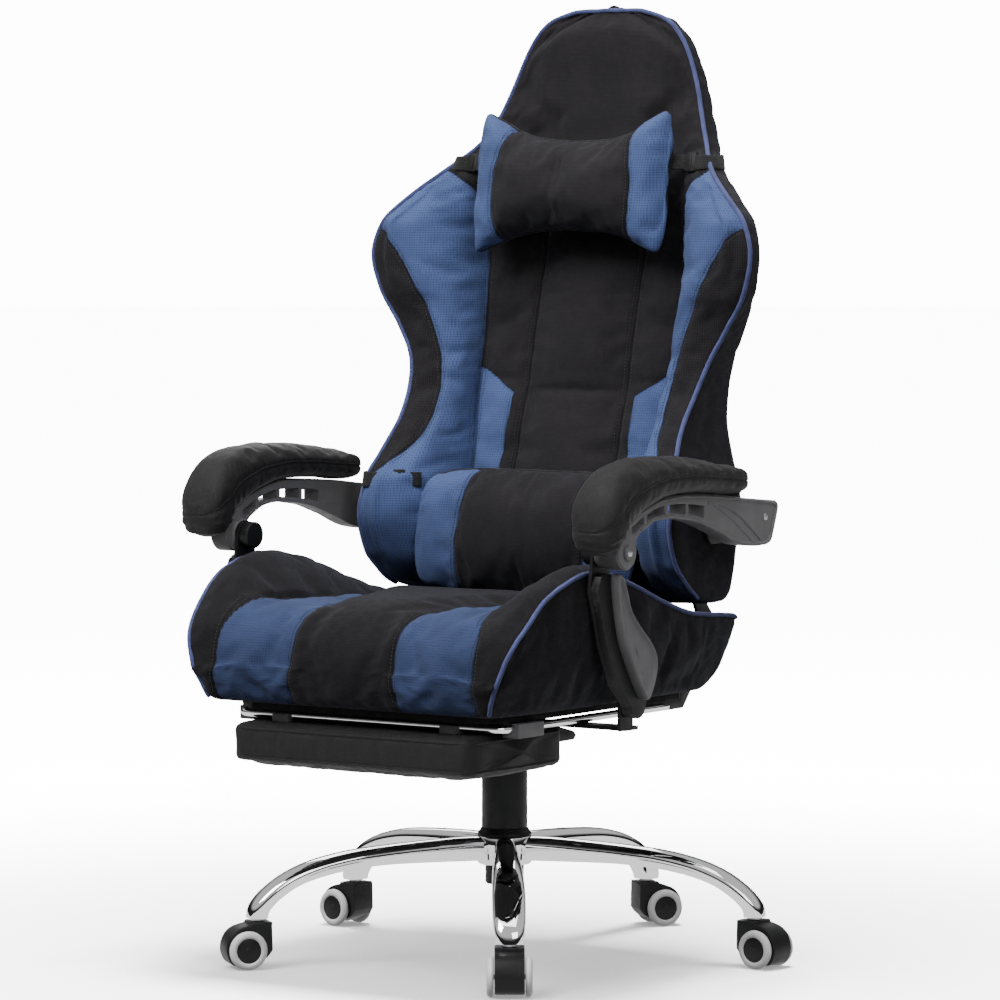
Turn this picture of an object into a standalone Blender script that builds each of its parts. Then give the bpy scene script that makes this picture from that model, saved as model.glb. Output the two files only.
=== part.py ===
"""Gaming chair with a five-star caster base, gas lift, rocking seat mechanism,
reclining back, linked armrests, pull-out footrest and two loose pillows.

Metres, +Z up, floor at z = 0, the column's axis on the origin, the sitter
faces -Y.  Every moving piece has its origin on its joint's axis.
"""

import math

import bmesh
import bpy
from mathutils import Matrix, Vector

# ---------------------------------------------------------------- dimensions
STAR_R = 0.335          # column axis to caster stem
STAR_ANGLES = (36.0, 108.0, 180.0, 252.0, 324.0)  # arms, from -Y towards +X
ARM_END_Z = 0.0640      # underside of the arm's socket
HUB_R = 0.0355
HUB_BOTTOM, HUB_TOP = 0.1200, 0.1575

CASTER_YAW = (-55.0, -4.0, 55.0, 173.0, 233.0)  # trail direction, from +X
WHEEL_R = 0.0250
WHEEL_W = 0.0090
HOOD_HALF = 0.0190
CASTER_TRAIL = 0.0180
HOOD_TOP = 0.0600
STEM_R = 0.0055

CYL_R = 0.0250          # gas lift outer tube
ROD_R = 0.0140          # gas lift piston rod
SLEEVE_R = 0.0298

TILT_Y, TILT_Z = -0.0500, 0.3020          # rocking pivot
BAR_Y, BAR_Z, BAR_X = -0.3000, 0.3310, 0.2050   # footrest bar
ROD_FOOT_R = 0.0050
PAN_Z0, PAN_Z1 = 0.3375, 0.3470
RECL_Y, RECL_Z = 0.2050, 0.4150           # recline pivot
ARM_P0 = (-0.1250, 0.3520)                # upright's lower pivot (y, z)
ARM_P1 = (-0.1910, 0.5480)                # armrest's front pivot
ARM_P2 = (0.1400, 0.5680)                 # armrest's rear pivot on the back
P2_CLEAR = 0.0034                         # play of that rear pivot

# ------------------------------------------------------------------ scene set
for ob in list(bpy.data.objects):
    bpy.data.objects.remove(ob, do_unlink=True)

PARTS = bpy.data.collections.new("gaming_chair")
CUTTERS = bpy.data.collections.new("cutters")
bpy.context.scene.collection.children.link(PARTS)
bpy.context.scene.collection.children.link(CUTTERS)


def principled(name, colour, rough, metal=0.0):
    m = bpy.data.materials.new(name)
    m.use_nodes = True
    b = m.node_tree.nodes["Principled BSDF"]
    b.inputs["Base Color"].default_value = (*colour, 1.0)
    b.inputs["Roughness"].default_value = rough
    b.inputs["Metallic"].default_value = metal
    return m


CHROME = principled("chrome", (0.80, 0.80, 0.82), 0.08, 1.0)
BLACK_STEEL = principled("black_steel", (0.02, 0.02, 0.022), 0.40, 0.6)
BLACK_PLASTIC = principled("black_plastic", (0.02, 0.02, 0.022), 0.45)
GREY_PLASTIC = principled("grey_plastic", (0.11, 0.11, 0.12), 0.42)
WHITE_TYRE = principled("wheel_white", (0.75, 0.75, 0.76), 0.50)
ZINC = principled("zinc_steel", (0.55, 0.55, 0.56), 0.30, 1.0)
BLACK_FABRIC = principled("black_fabric", (0.012, 0.012, 0.014), 0.85)
BLUE_FABRIC = principled("blue_fabric", (0.045, 0.085, 0.24), 0.85)
LEATHER = principled("black_leather", (0.010, 0.010, 0.011), 0.45)
WEBBING = principled("black_webbing", (0.015, 0.015, 0.016), 0.80)
BOARD = principled("seat_board", (0.05, 0.045, 0.04), 0.75)


# ------------------------------------------------------------------- helpers
def from_bm(name, bm, mat, coll=PARTS, smooth=None):
    bmesh.ops.recalc_face_normals(bm, faces=bm.faces[:])
    me = bpy.data.meshes.new(name)
    bm.to_mesh(me)
    bm.free()
    if smooth:
        me.shade_smooth()
        me.set_sharp_from_angle(angle=math.radians(smooth))
    obj = bpy.data.objects.new(name, me)
    coll.objects.link(obj)
    if mat is not None:
        me.materials.append(mat)
    return obj


def pivot(obj, point):
    """Move the object's origin to a point, leaving its shape where it is."""
    p = Vector(point)
    obj.data.transform(Matrix.Translation(-p))
    obj.location = p
    return obj


def box(name, lo, hi, mat, bevel=0.0, coll=PARTS, segs=2):
    """An axis-aligned block from its two corners, with rounded edges."""
    bm = bmesh.new()
    bmesh.ops.create_cube(bm, size=1.0)
    size = [h - l for l, h in zip(lo, hi)]
    mid = [(h + l) / 2 for l, h in zip(lo, hi)]
    bmesh.ops.scale(bm, vec=size, verts=bm.verts)
    bmesh.ops.translate(bm, vec=mid, verts=bm.verts)
    obj = from_bm(name, bm, mat, coll)
    if bevel:
        m = obj.modifiers.new("rounded", "BEVEL")
        m.width, m.segments = bevel, segs
    return obj


def cylinder(name, a, b, r, mat, n=24, coll=PARTS, r2=None):
    """A round bar between two points."""
    a, b = Vector(a), Vector(b)
    d = b - a
    bm = bmesh.new()
    bmesh.ops.create_cone(bm, cap_ends=True, segments=n, radius1=r,
                          radius2=r if r2 is None else r2, depth=d.length)
    rot = Vector((0, 0, 1)).rotation_difference(d.normalized()).to_matrix().to_4x4()
    bmesh.ops.transform(bm, matrix=Matrix.Translation((a + b) / 2) @ rot, verts=bm.verts)
    return from_bm(name, bm, mat, coll, smooth=40)


def cutter(obj):
    obj.hide_render = True
    obj.display_type = "WIRE"
    return obj


def boolean(obj, other, op):
    m = obj.modifiers.new(op.lower(), "BOOLEAN")
    m.object, m.operation, m.solver = other, op, "EXACT"
    cutter(other)
    return obj


def cut_round(obj, a, b, r, n=24):
    return boolean(obj, cylinder(obj.name + "_bore", a, b, r, None, n, CUTTERS), "DIFFERENCE")


def add_round(obj, a, b, r, n=24, r2=None):
    return boolean(obj, cylinder(obj.name + "_boss", a, b, r, None, n, CUTTERS, r2), "UNION")


def add_block(obj, lo, hi):
    return boolean(obj, box(obj.name + "_block", lo, hi, None, 0, CUTTERS), "UNION")


def turned(name, profile, mat, steps=32, coll=PARTS):
    """A profile of (radius, z) points run from top to bottom, turned about Z."""
    bm = bmesh.new()
    vs = [bm.verts.new((r, 0.0, z)) for r, z in profile]
    for u, v in zip(vs, vs[1:]):
        bm.edges.new((u, v))
    if profile[0][0] > 1e-6:
        bm.edges.new((vs[-1], vs[0]))
    me = bpy.data.meshes.new(name)
    bm.to_mesh(me)
    bm.free()
    obj = bpy.data.objects.new(name, me)
    coll.objects.link(obj)
    if mat is not None:
        me.materials.append(mat)
    s = obj.modifiers.new("turn", "SCREW")
    s.axis, s.steps, s.render_steps = "Z", steps, steps
    s.use_merge_vertices, s.merge_threshold = True, 0.00005
    s.use_smooth_shade = True
    return obj


def flat_outline(name, points, lo, hi, axis, mat, coll=PARTS, bevel=0.0):
    """A flat outline given as 2-D points, thick from lo to hi along an axis.

    For axis X the points are (y, z); for axis Z they are (x, y)."""
    cu = bpy.data.curves.new(name, "CURVE")
    cu.dimensions, cu.fill_mode = "2D", "BOTH"
    cu.extrude = (hi - lo) / 2
    sp = cu.splines.new("POLY")
    sp.points.add(len(points) - 1)
    for p, (x, y) in zip(sp.points, points):
        p.co = (x, y, 0.0, 1.0)
    sp.use_cyclic_u = True
    tmp = bpy.data.objects.new(name + "_outline", cu)
    CUTTERS.objects.link(tmp)
    if axis == "X":
        turn = Matrix(((0, 0, 1, (lo + hi) / 2), (1, 0, 0, 0), (0, 1, 0, 0), (0, 0, 0, 1)))
    else:
        turn = Matrix.Translation((0, 0, (lo + hi) / 2))
    deps = bpy.context.evaluated_depsgraph_get()
    me = bpy.data.meshes.new_from_object(tmp.evaluated_get(deps))
    bm = bmesh.new()
    bm.from_mesh(me)
    bmesh.ops.remove_doubles(bm, verts=bm.verts[:], dist=0.00002)
    bmesh.ops.transform(bm, matrix=turn, verts=bm.verts[:])
    bpy.data.objects.remove(tmp, do_unlink=True)
    obj = from_bm(name, bm, mat, coll)
    if bevel:
        m = obj.modifiers.new("rounded", "BEVEL")
        m.width, m.segments, m.limit_method = bevel, 1, "ANGLE"
    return obj


def tube(name, points, r, mat, cyclic=False, coll=PARTS, res=2):
    """A round bar bent through the points, as a closed mesh."""
    cu = bpy.data.curves.new(name, "CURVE")
    cu.dimensions = "3D"
    cu.bevel_depth, cu.bevel_resolution = r, res
    cu.use_fill_caps = not cyclic
    sp = cu.splines.new("POLY")
    sp.points.add(len(points) - 1)
    for p, q in zip(sp.points, points):
        p.co = (*q, 1.0)
    sp.use_cyclic_u = cyclic
    tmp = bpy.data.objects.new(name + "_curve", cu)
    CUTTERS.objects.link(tmp)
    deps = bpy.context.evaluated_depsgraph_get()
    me = bpy.data.meshes.new_from_object(tmp.evaluated_get(deps))
    bm = bmesh.new()
    bm.from_mesh(me)
    bmesh.ops.remove_doubles(bm, verts=bm.verts[:], dist=0.00002)
    bpy.data.objects.remove(tmp, do_unlink=True)
    return from_bm(name, bm, mat, coll, smooth=50)


def loft(name, rings, mat, coll=PARTS, smooth=55, cyclic=False):
    """A skin through rings that have the same number of points each."""
    bm = bmesh.new()
    rows = [[bm.verts.new(p) for p in ring] for ring in rings]
    n = len(rings[0])
    pairs = list(zip(rows, rows[1:])) + ([(rows[-1], rows[0])] if cyclic else [])
    for a, b in pairs:
        for i in range(n):
            j = (i + 1) % n
            bm.faces.new((a[i], a[j], b[j], b[i]))
    if not cyclic:
        bm.faces.new(rows[0][::-1])
        bm.faces.new(rows[-1])
    bmesh.ops.triangulate(bm, faces=[f for f in bm.faces if len(f.verts) > 4])
    return from_bm(name, bm, mat, coll, smooth=smooth)


def lerp(table, t):
    """Linear reading of a table of rows (t, a, b, ...)."""
    if t <= table[0][0]:
        return table[0][1:]
    for a, b in zip(table, table[1:]):
        if t <= b[0]:
            k = (t - a[0]) / (b[0] - a[0])
            return tuple(u + (v - u) * k for u, v in zip(a[1:], b[1:]))
    return table[-1][1:]


def mirrored(half):
    """A closed ring from its +X half, whose first and last points are at x = 0."""
    return half + [(-p[0], p[1], p[2]) for p in half[-2:0:-1]]


def arc(cx, cy, r, a0, a1, n):
    return [(cx + r * math.cos(math.radians(a0 + (a1 - a0) * i / n)),
             cy + r * math.sin(math.radians(a0 + (a1 - a0) * i / n))) for i in range(n + 1)]


def stem_at(i):
    a = math.radians(STAR_ANGLES[i])
    return Vector((STAR_R * math.sin(a), -STAR_R * math.cos(a), 0.0))


# ---------------------------------------------------------------- star base
# Each arm leaves the hub level, bows outward and turns down to its socket.
# Rows: distance from the column, height of the arm's middle, half width,
# half thickness, slope of the section in degrees.
ARM_ROWS = (
    (0.020, 0.1400, 0.0140, 0.0160, 2),
    (0.060, 0.1405, 0.0150, 0.0160, 0),
    (0.110, 0.1395, 0.0165, 0.0145, -2),
    (0.160, 0.1375, 0.0180, 0.0130, -5),
    (0.210, 0.1330, 0.0195, 0.0125, -10),
    (0.255, 0.1240, 0.0205, 0.0120, -20),
    (0.290, 0.1110, 0.0210, 0.0115, -34),
    (0.317, 0.0930, 0.0205, 0.0120, -55),
    (0.3325, 0.0760, 0.0190, 0.0130, -76),
    (0.3350, ARM_END_Z, 0.0165, 0.0135, -90),
)
base = turned("star_base", [(0.0, HUB_TOP), (HUB_R - 0.002, HUB_TOP), (HUB_R, HUB_TOP - 0.002),
                            (HUB_R, HUB_BOTTOM + 0.002), (HUB_R - 0.002, HUB_BOTTOM), (0.0, HUB_BOTTOM)],
              CHROME, 40)
for i, deg in enumerate(STAR_ANGLES):
    a = math.radians(deg)
    out, side = Vector((math.sin(a), -math.cos(a), 0)), Vector((math.cos(a), math.sin(a), 0))
    rings = []
    for r, z, w, t, s in ARM_ROWS:
        sl = math.radians(s)
        normal = Vector((0, 0, math.cos(sl))) - out * math.sin(sl)
        c = out * r + Vector((0, 0, z))
        ring = []
        for k in range(10):
            q = 2 * math.pi * k / 10 + math.pi / 10
            cx, cy = math.cos(q), math.sin(q)
            ring.append(c + side * (w * math.copysign(abs(cx) ** 0.75, cx))
                        + normal * (t * math.copysign(abs(cy) ** 0.75, cy)))
        rings.append(ring)
    boolean(base, loft("star_arm_%d" % (i + 1), rings, None, CUTTERS), "UNION")
for i in range(5):
    p = stem_at(i)
    cut_round(base, p + Vector((0, 0, 0.05)), p + Vector((0, 0, 0.0785)), STEM_R + 0.0003, 12)
cut_round(base, (0, 0, 0.10), (0, 0, 0.17), CYL_R + 0.0006, 28)

# --------------------------------------------------------------- lift column
cyl = turned("gas_cylinder", [(ROD_R + 0.0004, 0.2700), (CYL_R - 0.001, 0.2700), (CYL_R, 0.2690),
                              (CYL_R, 0.0960), (CYL_R - 0.002, 0.0940), (ROD_R + 0.0004, 0.0940)],
             BLACK_STEEL, 28)
turned("column_collar", [(CYL_R + 0.0006, 0.1672), (0.0306, 0.1672), (0.0312, 0.1650), (0.0350, 0.1600),
                         (0.0350, HUB_TOP + 0.0004), (CYL_R + 0.0006, HUB_TOP + 0.0004)], BLACK_PLASTIC, 28)
turned("column_sleeve_lower", [(0.0278, 0.2750), (SLEEVE_R - 0.0006, 0.2750), (SLEEVE_R, 0.2740),
                               (SLEEVE_R, 0.1676), (0.0278, 0.1676)], BLACK_PLASTIC, 28)
pivot(turned("column_sleeve_upper", [(0.0256, 0.2790), (0.0273, 0.2790), (0.0273, 0.1800), (0.0256, 0.1800)],
             BLACK_PLASTIC, 28), (0, 0, 0.1800))
rod = turned("gas_piston_rod", [(0.0, 0.3010), (ROD_R - 0.0012, 0.3010), (ROD_R, 0.2900), (ROD_R, 0.2785),
                                (0.0250, 0.2780), (0.0250, 0.2745), (ROD_R, 0.2740),
                                (ROD_R, 0.1200), (0.0, 0.1200)], ZINC, 24)
pivot(rod, (0, 0, 0.1200))

# ------------------------------------------------------------------- casters
for i in range(5):
    p = stem_at(i)
    yaw = math.radians(CASTER_YAW[i])
    t = Vector((math.cos(yaw), math.sin(yaw), 0))
    s = Vector((-math.sin(yaw), math.cos(yaw), 0))
    place = Matrix.Translation(p) @ Matrix.Rotation(yaw, 4, "Z")
    stem = turned("caster_stem_%d" % (i + 1),
                  [(0.0, 0.0775), (STEM_R - 0.001, 0.0775), (STEM_R, 0.0765), (STEM_R, 0.0636),
                   (0.0085, 0.0636), (0.0085, 0.0606), (STEM_R, 0.0606), (STEM_R, 0.0530), (0.0, 0.0530)],
                  ZINC, 12)
    stem.location = p
    # The hood: an upright flat front at the stem and a round back over the axle.
    outline = [(-0.0150, HOOD_TOP), (-0.0160, 0.0240), (-0.0060, 0.0130), (0.0180, 0.0045),
               (0.0360, 0.0060), (0.0440, 0.0180), (0.0450, 0.0300), (0.0400, 0.0430),
               (0.0300, 0.0520), (0.0150, 0.0565), (0.0120, HOOD_TOP)]
    cu_name = "caster_hood_%d" % (i + 1)
    hood = flat_outline(cu_name, outline, -HOOD_HALF, HOOD_HALF, "X", BLACK_PLASTIC, bevel=0.0016)
    hood.data.transform(Matrix(((0, 1, 0, 0), (-1, 0, 0, 0), (0, 0, 1, 0), (0, 0, 0, 1))))
    hood.matrix_world = place
    for a, b, r in (((0, 0, 0.0525), (0, 0, 0.0700), STEM_R + 0.0003),
                    ((CASTER_TRAIL, -0.03, WHEEL_R), (CASTER_TRAIL, 0.03, WHEEL_R), 0.0036)):
        c = cylinder("hood_bore", a, b, r, None, 12, CUTTERS)
        c.matrix_world = place
        boolean(hood, c, "DIFFERENCE")
    # Twin wheels on their axle.
    ax = p + t * CASTER_TRAIL + Vector((0, 0, WHEEL_R))
    inner, outer = HOOD_HALF + 0.0006, HOOD_HALF + 0.0006 + WHEEL_W
    prof = [(0.0, outer), (0.0150, outer), (0.0185, outer - 0.0012), (0.0235, outer - 0.0012),
            (WHEEL_R, outer - 0.0030), (WHEEL_R, inner + 0.0020), (0.0235, inner), (0.0033, inner),
            (0.0033, -inner), (0.0235, -inner), (WHEEL_R, -inner - 0.0020), (WHEEL_R, -outer + 0.0030),
            (0.0235, -outer + 0.0012), (0.0185, -outer + 0.0012), (0.0150, -outer), (0.0, -outer)]
    wheels = turned("caster_wheels_%d" % (i + 1), prof, WHITE_TYRE, 20)
    wheels.matrix_world = (Matrix.Translation(ax) @ Matrix.Rotation(yaw, 4, "Z")
                           @ Matrix.Rotation(math.radians(-90), 4, "X"))

# ---------------------------------------------------- tilt mechanism, levers
housing = flat_outline("tilt_housing", [(-0.105, 0.2830), (-0.105, 0.3120), (-0.060, 0.3170), (-0.042, 0.3170),
                                        (0.060, 0.2920), (0.068, 0.2860), (0.062, 0.2797), (-0.098, 0.2797)],
                       -0.068, 0.068, "X", BLACK_STEEL, bevel=0.0015)
pivot(housing, (0, 0, TILT_Z))
cut_round(housing, (0, 0, 0.27), (0, 0, 0.3014), ROD_R + 0.0004, 32)
cut_round(housing, (-0.08, TILT_Y, TILT_Z), (0.08, TILT_Y, TILT_Z), 0.0056, 16)
cut_round(housing, (-0.08, 0.0, 0.2900), (-0.045, 0.0, 0.2900), 0.0046, 12)
pin = cylinder("tilt_pivot_pin", (-0.0840, TILT_Y, TILT_Z), (0.0840, TILT_Y, TILT_Z), 0.0050, ZINC, 16)
pivot(pin, (0, TILT_Y, TILT_Z))
knob = turned("tilt_tension_knob", [(0.0, 0.2790), (0.0100, 0.2790), (0.0110, 0.2690), (0.0240, 0.2670),
                                    (0.0260, 0.2640), (0.0250, 0.2460), (0.0225, 0.2440), (0.0, 0.2440)],
              BLACK_PLASTIC, 24)
for v in knob.data.vertices:
    v.co.z -= 0.2790
knob.location = (0, -0.0760, 0.2790)
# Height lever: a thin rod out of the housing's side, with a flat paddle.
lever = tube("height_lever", [(-0.0640, 0, 0.2900), (-0.1200, 0, 0.2900), (-0.1900, -0.004, 0.2870),
                              (-0.2450, -0.006, 0.2840)], 0.0040, ZINC)
boolean(lever, box("lever_paddle", (-0.2900, -0.0180, 0.2800), (-0.2300, 0.0080, 0.2880), None, 0.0035, CUTTERS),
        "UNION")
pivot(lever, (-0.0680, 0, 0.2900))

# ----------------------------------------------------------------- seat deck
plate = box("seat_plate", (-0.1050, -0.1250, 0.3220), (0.1050, 0.1000, 0.3280), BLACK_STEEL, 0)
add_block(plate, (-0.1250, -0.1600, 0.3270), (-0.0950, 0.1400, PAN_Z0 - 0.0004))
add_block(plate, (0.0950, -0.1600, 0.3270), (0.1250, 0.1400, PAN_Z0 - 0.0004))
for s in (-1, 1):
    x0, x1 = sorted((s * 0.0690, s * 0.0740))
    add_block(plate, (x0, TILT_Y - 0.0120, 0.2900), (x1, TILT_Y + 0.0120, 0.3240))
cut_round(plate, (-0.09, TILT_Y, TILT_Z), (0.09, TILT_Y, TILT_Z), 0.0053, 16)
pivot(plate, (0, TILT_Y, TILT_Z))

pan = flat_outline("seat_pan", [(-0.2050, -0.2900), (-0.1700, -0.3150), (0.1700, -0.3150), (0.2050, -0.2900),
                                (0.2050, 0.1000), (0.1900, 0.1250), (-0.1900, 0.1250), (-0.2050, 0.1000)],
                   PAN_Z0, PAN_Z1, "Z", BOARD)
pivot(pan, (0, TILT_Y, TILT_Z))

# Seat cushion, as cross-sections from front to back.  Rows: y, half width at
# the bottom, bottom height, piping half width, piping height, crown height,
# half width of the flat seat, seat height.
SEAT_ROWS = (
    (-0.3700, 0.2140, 0.3720, 0.2350, 0.3900, 0.3960, 0.150, 0.4000),
    (-0.3620, 0.2180, 0.3560, 0.2440, 0.4180, 0.4260, 0.152, 0.4280),
    (-0.3380, 0.2200, 0.3490, 0.2510, 0.4400, 0.4480, 0.155, 0.4480),
    (-0.3180, 0.2240, 0.3480, 0.2560, 0.4620, 0.4700, 0.157, 0.4620),
    (-0.2850, 0.2300, 0.3480, 0.2600, 0.4920, 0.5000, 0.160, 0.4690),
    (-0.2500, 0.2340, 0.3480, 0.2630, 0.5090, 0.5160, 0.163, 0.4710),
    (-0.2000, 0.2360, 0.3480, 0.2650, 0.5210, 0.5270, 0.166, 0.4710),
    (-0.1500, 0.2370, 0.3480, 0.2640, 0.5160, 0.5220, 0.168, 0.4710),
    (-0.1000, 0.2370, 0.3480, 0.2620, 0.5030, 0.5090, 0.170, 0.4690),
    (-0.0500, 0.2360, 0.3480, 0.2600, 0.4850, 0.4900, 0.172, 0.4670),
    (0.0000, 0.2340, 0.3480, 0.2570, 0.4680, 0.4720, 0.175, 0.4620),
    (0.0600, 0.2320, 0.3480, 0.2540, 0.4540, 0.4570, 0.178, 0.4530),
    (0.1200, 0.2280, 0.3480, 0.2510, 0.4480, 0.4500, 0.180, 0.4480),
    (0.1400, 0.2250, 0.3640, 0.2490, 0.4460, 0.4480, 0.180, 0.4460),
    (0.1620, 0.2250, 0.4000, 0.2480, 0.4440, 0.4450, 0.178, 0.4440),
    (0.1750, 0.2250, 0.4240, 0.2450, 0.4410, 0.4415, 0.176, 0.4415),
)


def seat_ring(row):
    y, xb, zb, xp, zp, zc, xf, zt = row
    return mirrored([(0.0, y, zb), (xb - 0.02, y, zb), (xb, y, zb + 0.004), (xp, y, zp - 0.004), (xp - 0.004, y, zp),
                     (xp - 0.030, y, zc), (xp - 0.055, y, (zc * 2 + zt) / 3), (xf, y, zt), (0.0, y, zt)])


cushion = loft("seat_cushion", [seat_ring(r) for r in SEAT_ROWS], BLACK_FABRIC)
pivot(cushion, (0, TILT_Y, TILT_Z))

for s, side in ((-1, "right"), (1, "left")):
    x = s * BAR_X
    guide = box("footrest_guide_" + side, (x - 0.0120, -0.2800, 0.3195), (x + 0.0120, -0.2250, PAN_Z0 - 0.0003),
                GREY_PLASTIC, 0)
    cut_round(guide, (x, -0.30, BAR_Z), (x, -0.20, BAR_Z), ROD_FOOT_R + 0.0006, 16)
    pivot(guide, (0, TILT_Y, TILT_Z))
    # Steel plate under the pan's rear, up to the recline pivot.
    x0, x1 = sorted((s * 0.1710, s * 0.1760))
    hinge = flat_outline("seat_hinge_plate_" + side,
                         [(0.0200, 0.3200), (0.1550, 0.3200), (0.2220, 0.3960), (0.2240, 0.4180), (0.2150, 0.4330),
                          (0.1960, 0.4330), (0.1880, 0.4180), (0.1880, 0.4020), (0.1420, 0.3370), (0.0200, 0.3370)],
                         x0, x1, "X", BLACK_STEEL)
    cut_round(hinge, (x0 - 0.01, RECL_Y, RECL_Z), (x1 + 0.01, RECL_Y, RECL_Z), 0.0065, 20)
    pivot(hinge, (0, TILT_Y, TILT_Z))

# ------------------------------------------------------------------ footrest
corner = 0.0220
bend = []
for k in range(6):
    a = math.radians(90 * k / 5)
    bend.append((BAR_X - corner + corner * math.cos(a), BAR_Y + corner - corner * math.sin(a), BAR_Z))
path = [(BAR_X, 0.0700, BAR_Z)] + bend
path += [(-x, y, z) for x, y, z in path[::-1]]
pivot(tube("footrest_bar", path, ROD_FOOT_R, CHROME, res=3), (0, BAR_Y, BAR_Z))
pad = box("footrest_pad", (-0.1860, -0.3400, 0.2720), (0.1860, -0.1320, 0.3225), LEATHER, 0.010)
pivot(pad, (0, BAR_Y, BAR_Z))
for s, side in ((-1, "right"), (1, "left")):
    x = s * 0.1300
    clip = box("footrest_hinge_clip_" + side, (x - 0.0130, BAR_Y - 0.0085, 0.3229), (x + 0.0130, BAR_Y + 0.0085, 0.3334),
               GREY_PLASTIC, 0)
    cut_round(clip, (x - 0.03, BAR_Y, BAR_Z), (x + 0.03, BAR_Y, BAR_Z), ROD_FOOT_R + 0.0006, 16)
    pivot(clip, (0, BAR_Y, BAR_Z))

# ------------------------------------------------------------------ backrest
# Rows: height, piping half width, piping y, side rear y, centre front y,
# centre rear y.
BACK_ROWS = (
    (0.4600, 0.2300, 0.1280, 0.1640, 0.1300, 0.1900),
    (0.4700, 0.2400, 0.0900, 0.1700, 0.1200, 0.1960),
    (0.4900, 0.2430, 0.0580, 0.1720, 0.1150, 0.1990),
    (0.5200, 0.2450, 0.0270, 0.1760, 0.1160, 0.2030),
    (0.5650, 0.2450, 0.0140, 0.1860, 0.1200, 0.2090),
    (0.6090, 0.2430, 0.0250, 0.1900, 0.1290, 0.2150),
    (0.6500, 0.2330, 0.0490, 0.1890, 0.1400, 0.2220),
    (0.6970, 0.2250, 0.0800, 0.1890, 0.1520, 0.2300),
    (0.7330, 0.2280, 0.1030, 0.1890, 0.1620, 0.2370),
    (0.7720, 0.2370, 0.1190, 0.1870, 0.1720, 0.2440),
    (0.8160, 0.2610, 0.1260, 0.1760, 0.1830, 0.2510),
    (0.8610, 0.2870, 0.1230, 0.1580, 0.1950, 0.2580),
    (0.9100, 0.2990, 0.1200, 0.1500, 0.2080, 0.2640),
    (0.9500, 0.2870, 0.1240, 0.1580, 0.2170, 0.2690),
    (0.9720, 0.2660, 0.1330, 0.1700, 0.2210, 0.2720),
    (0.9990, 0.2350, 0.1480, 0.1900, 0.2260, 0.2760),
    (1.0190, 0.2110, 0.1650, 0.2060, 0.2300, 0.2790),
    (1.0530, 0.1810, 0.2000, 0.2380, 0.2350, 0.2830),
    (1.0890, 0.1610, 0.2200, 0.2560, 0.2390, 0.2860),
    (1.1380, 0.1420, 0.2350, 0.2680, 0.2430, 0.2880),
    (1.1850, 0.1210, 0.2410, 0.2700, 0.2450, 0.2870),
    (1.2160, 0.0940, 0.2430, 0.2680, 0.2460, 0.2840),
    (1.2300, 0.0550, 0.2460, 0.2640, 0.2470, 0.2780),
)
POCKET = ((0.44, 0.0270), (0.90, 0.0260), (1.09, 0.0240), (1.12, 0.0240))  # depth behind the rear line


def centre_half(z):
    """Half width of the flat middle of the back."""
    return lerp(((0.46, 0.105), (0.60, 0.100), (0.80, 0.094), (0.95, 0.080), (1.05, 0.070), (1.14, 0.055),
                 (1.19, 0.040), (1.23, 0.020)), z)[0]


def back_front(z):
    w, yp, ys, yc, yr = lerp(BACK_ROWS, z)
    xc = centre_half(z)
    ridge = min(0.020, (w - xc) * 0.3)
    return [(0.0, yc), (xc, yc), ((xc + w) / 2, yc + (yp - yc) * 0.52), (w - ridge, yp + (yc - yp) * 0.05 - 0.004),
            (w - 0.004, yp - 0.003), (w, yp + 0.004)]


def back_ring(z, pocket):
    w, yp, ys, yc, yr = lerp(BACK_ROWS, z)
    deep = lerp(POCKET, z)[0] if pocket else 0.0
    rim = min(0.205, w - 0.026)
    yrim = yr + (ys - yr) * (rim / w) ** 2
    steps = (0.999, 0.75, 0.5, 0.25, 0.0)
    half = [(x, y, z) for x, y in back_front(z)]
    half += [(w - 0.002, ys - 0.010, z), (w - 0.010, ys, z), (rim, yrim, z)]
    half += [(rim * k, yr + (ys - yr) * (k * rim / w) ** 2 - deep, z) for k in steps]
    return mirrored(half)


# The pocket in the cushion's rear holds the steel frame; it ends under the
# head, where the section closes to the rear line.
levels = [r[0] for r in BACK_ROWS]
rings = [back_ring(z, True) for z in levels if z <= 1.10]
rings += [back_ring(1.112, True), back_ring(1.116, False)]
rings += [back_ring(z, False) for z in levels if z > 1.12]
back = loft("back_cushion", rings, BLACK_FABRIC)
pivot(back, (0, RECL_Y, RECL_Z))


def frame_y(x, z):
    w, yp, ys, yc, yr = lerp(BACK_ROWS, z)
    return yr + (ys - yr) * (x / w) ** 2 - 0.0150


# Steel frame: one bent tube, closed at the bottom.
FRAME_R = 0.0080
side_pts = []
for z, x in ((0.4750, 0.1500), (0.4900, 0.1580), (0.5400, 0.1600), (0.6000, 0.1600), (0.7000, 0.1600), (0.8000, 0.1600),
             (0.8800, 0.1600), (0.9400, 0.1560), (0.9900, 0.1400), (1.0300, 0.1150), (1.0600, 0.0900),
             (1.0800, 0.0600)):
    side_pts.append((x, frame_y(x, z), z))
loop = side_pts + [(0.0, frame_y(0.0, 1.0850), 1.0850)] + [(-x, y, z) for x, y, z in side_pts[::-1]]
loop += [(x, frame_y(x, 0.4750), 0.4750) for x in (-0.11, -0.055, 0.0, 0.055, 0.11)]
pivot(tube("back_frame", loop, FRAME_R, BLACK_STEEL, cyclic=True), (0, RECL_Y, RECL_Z))

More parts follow.
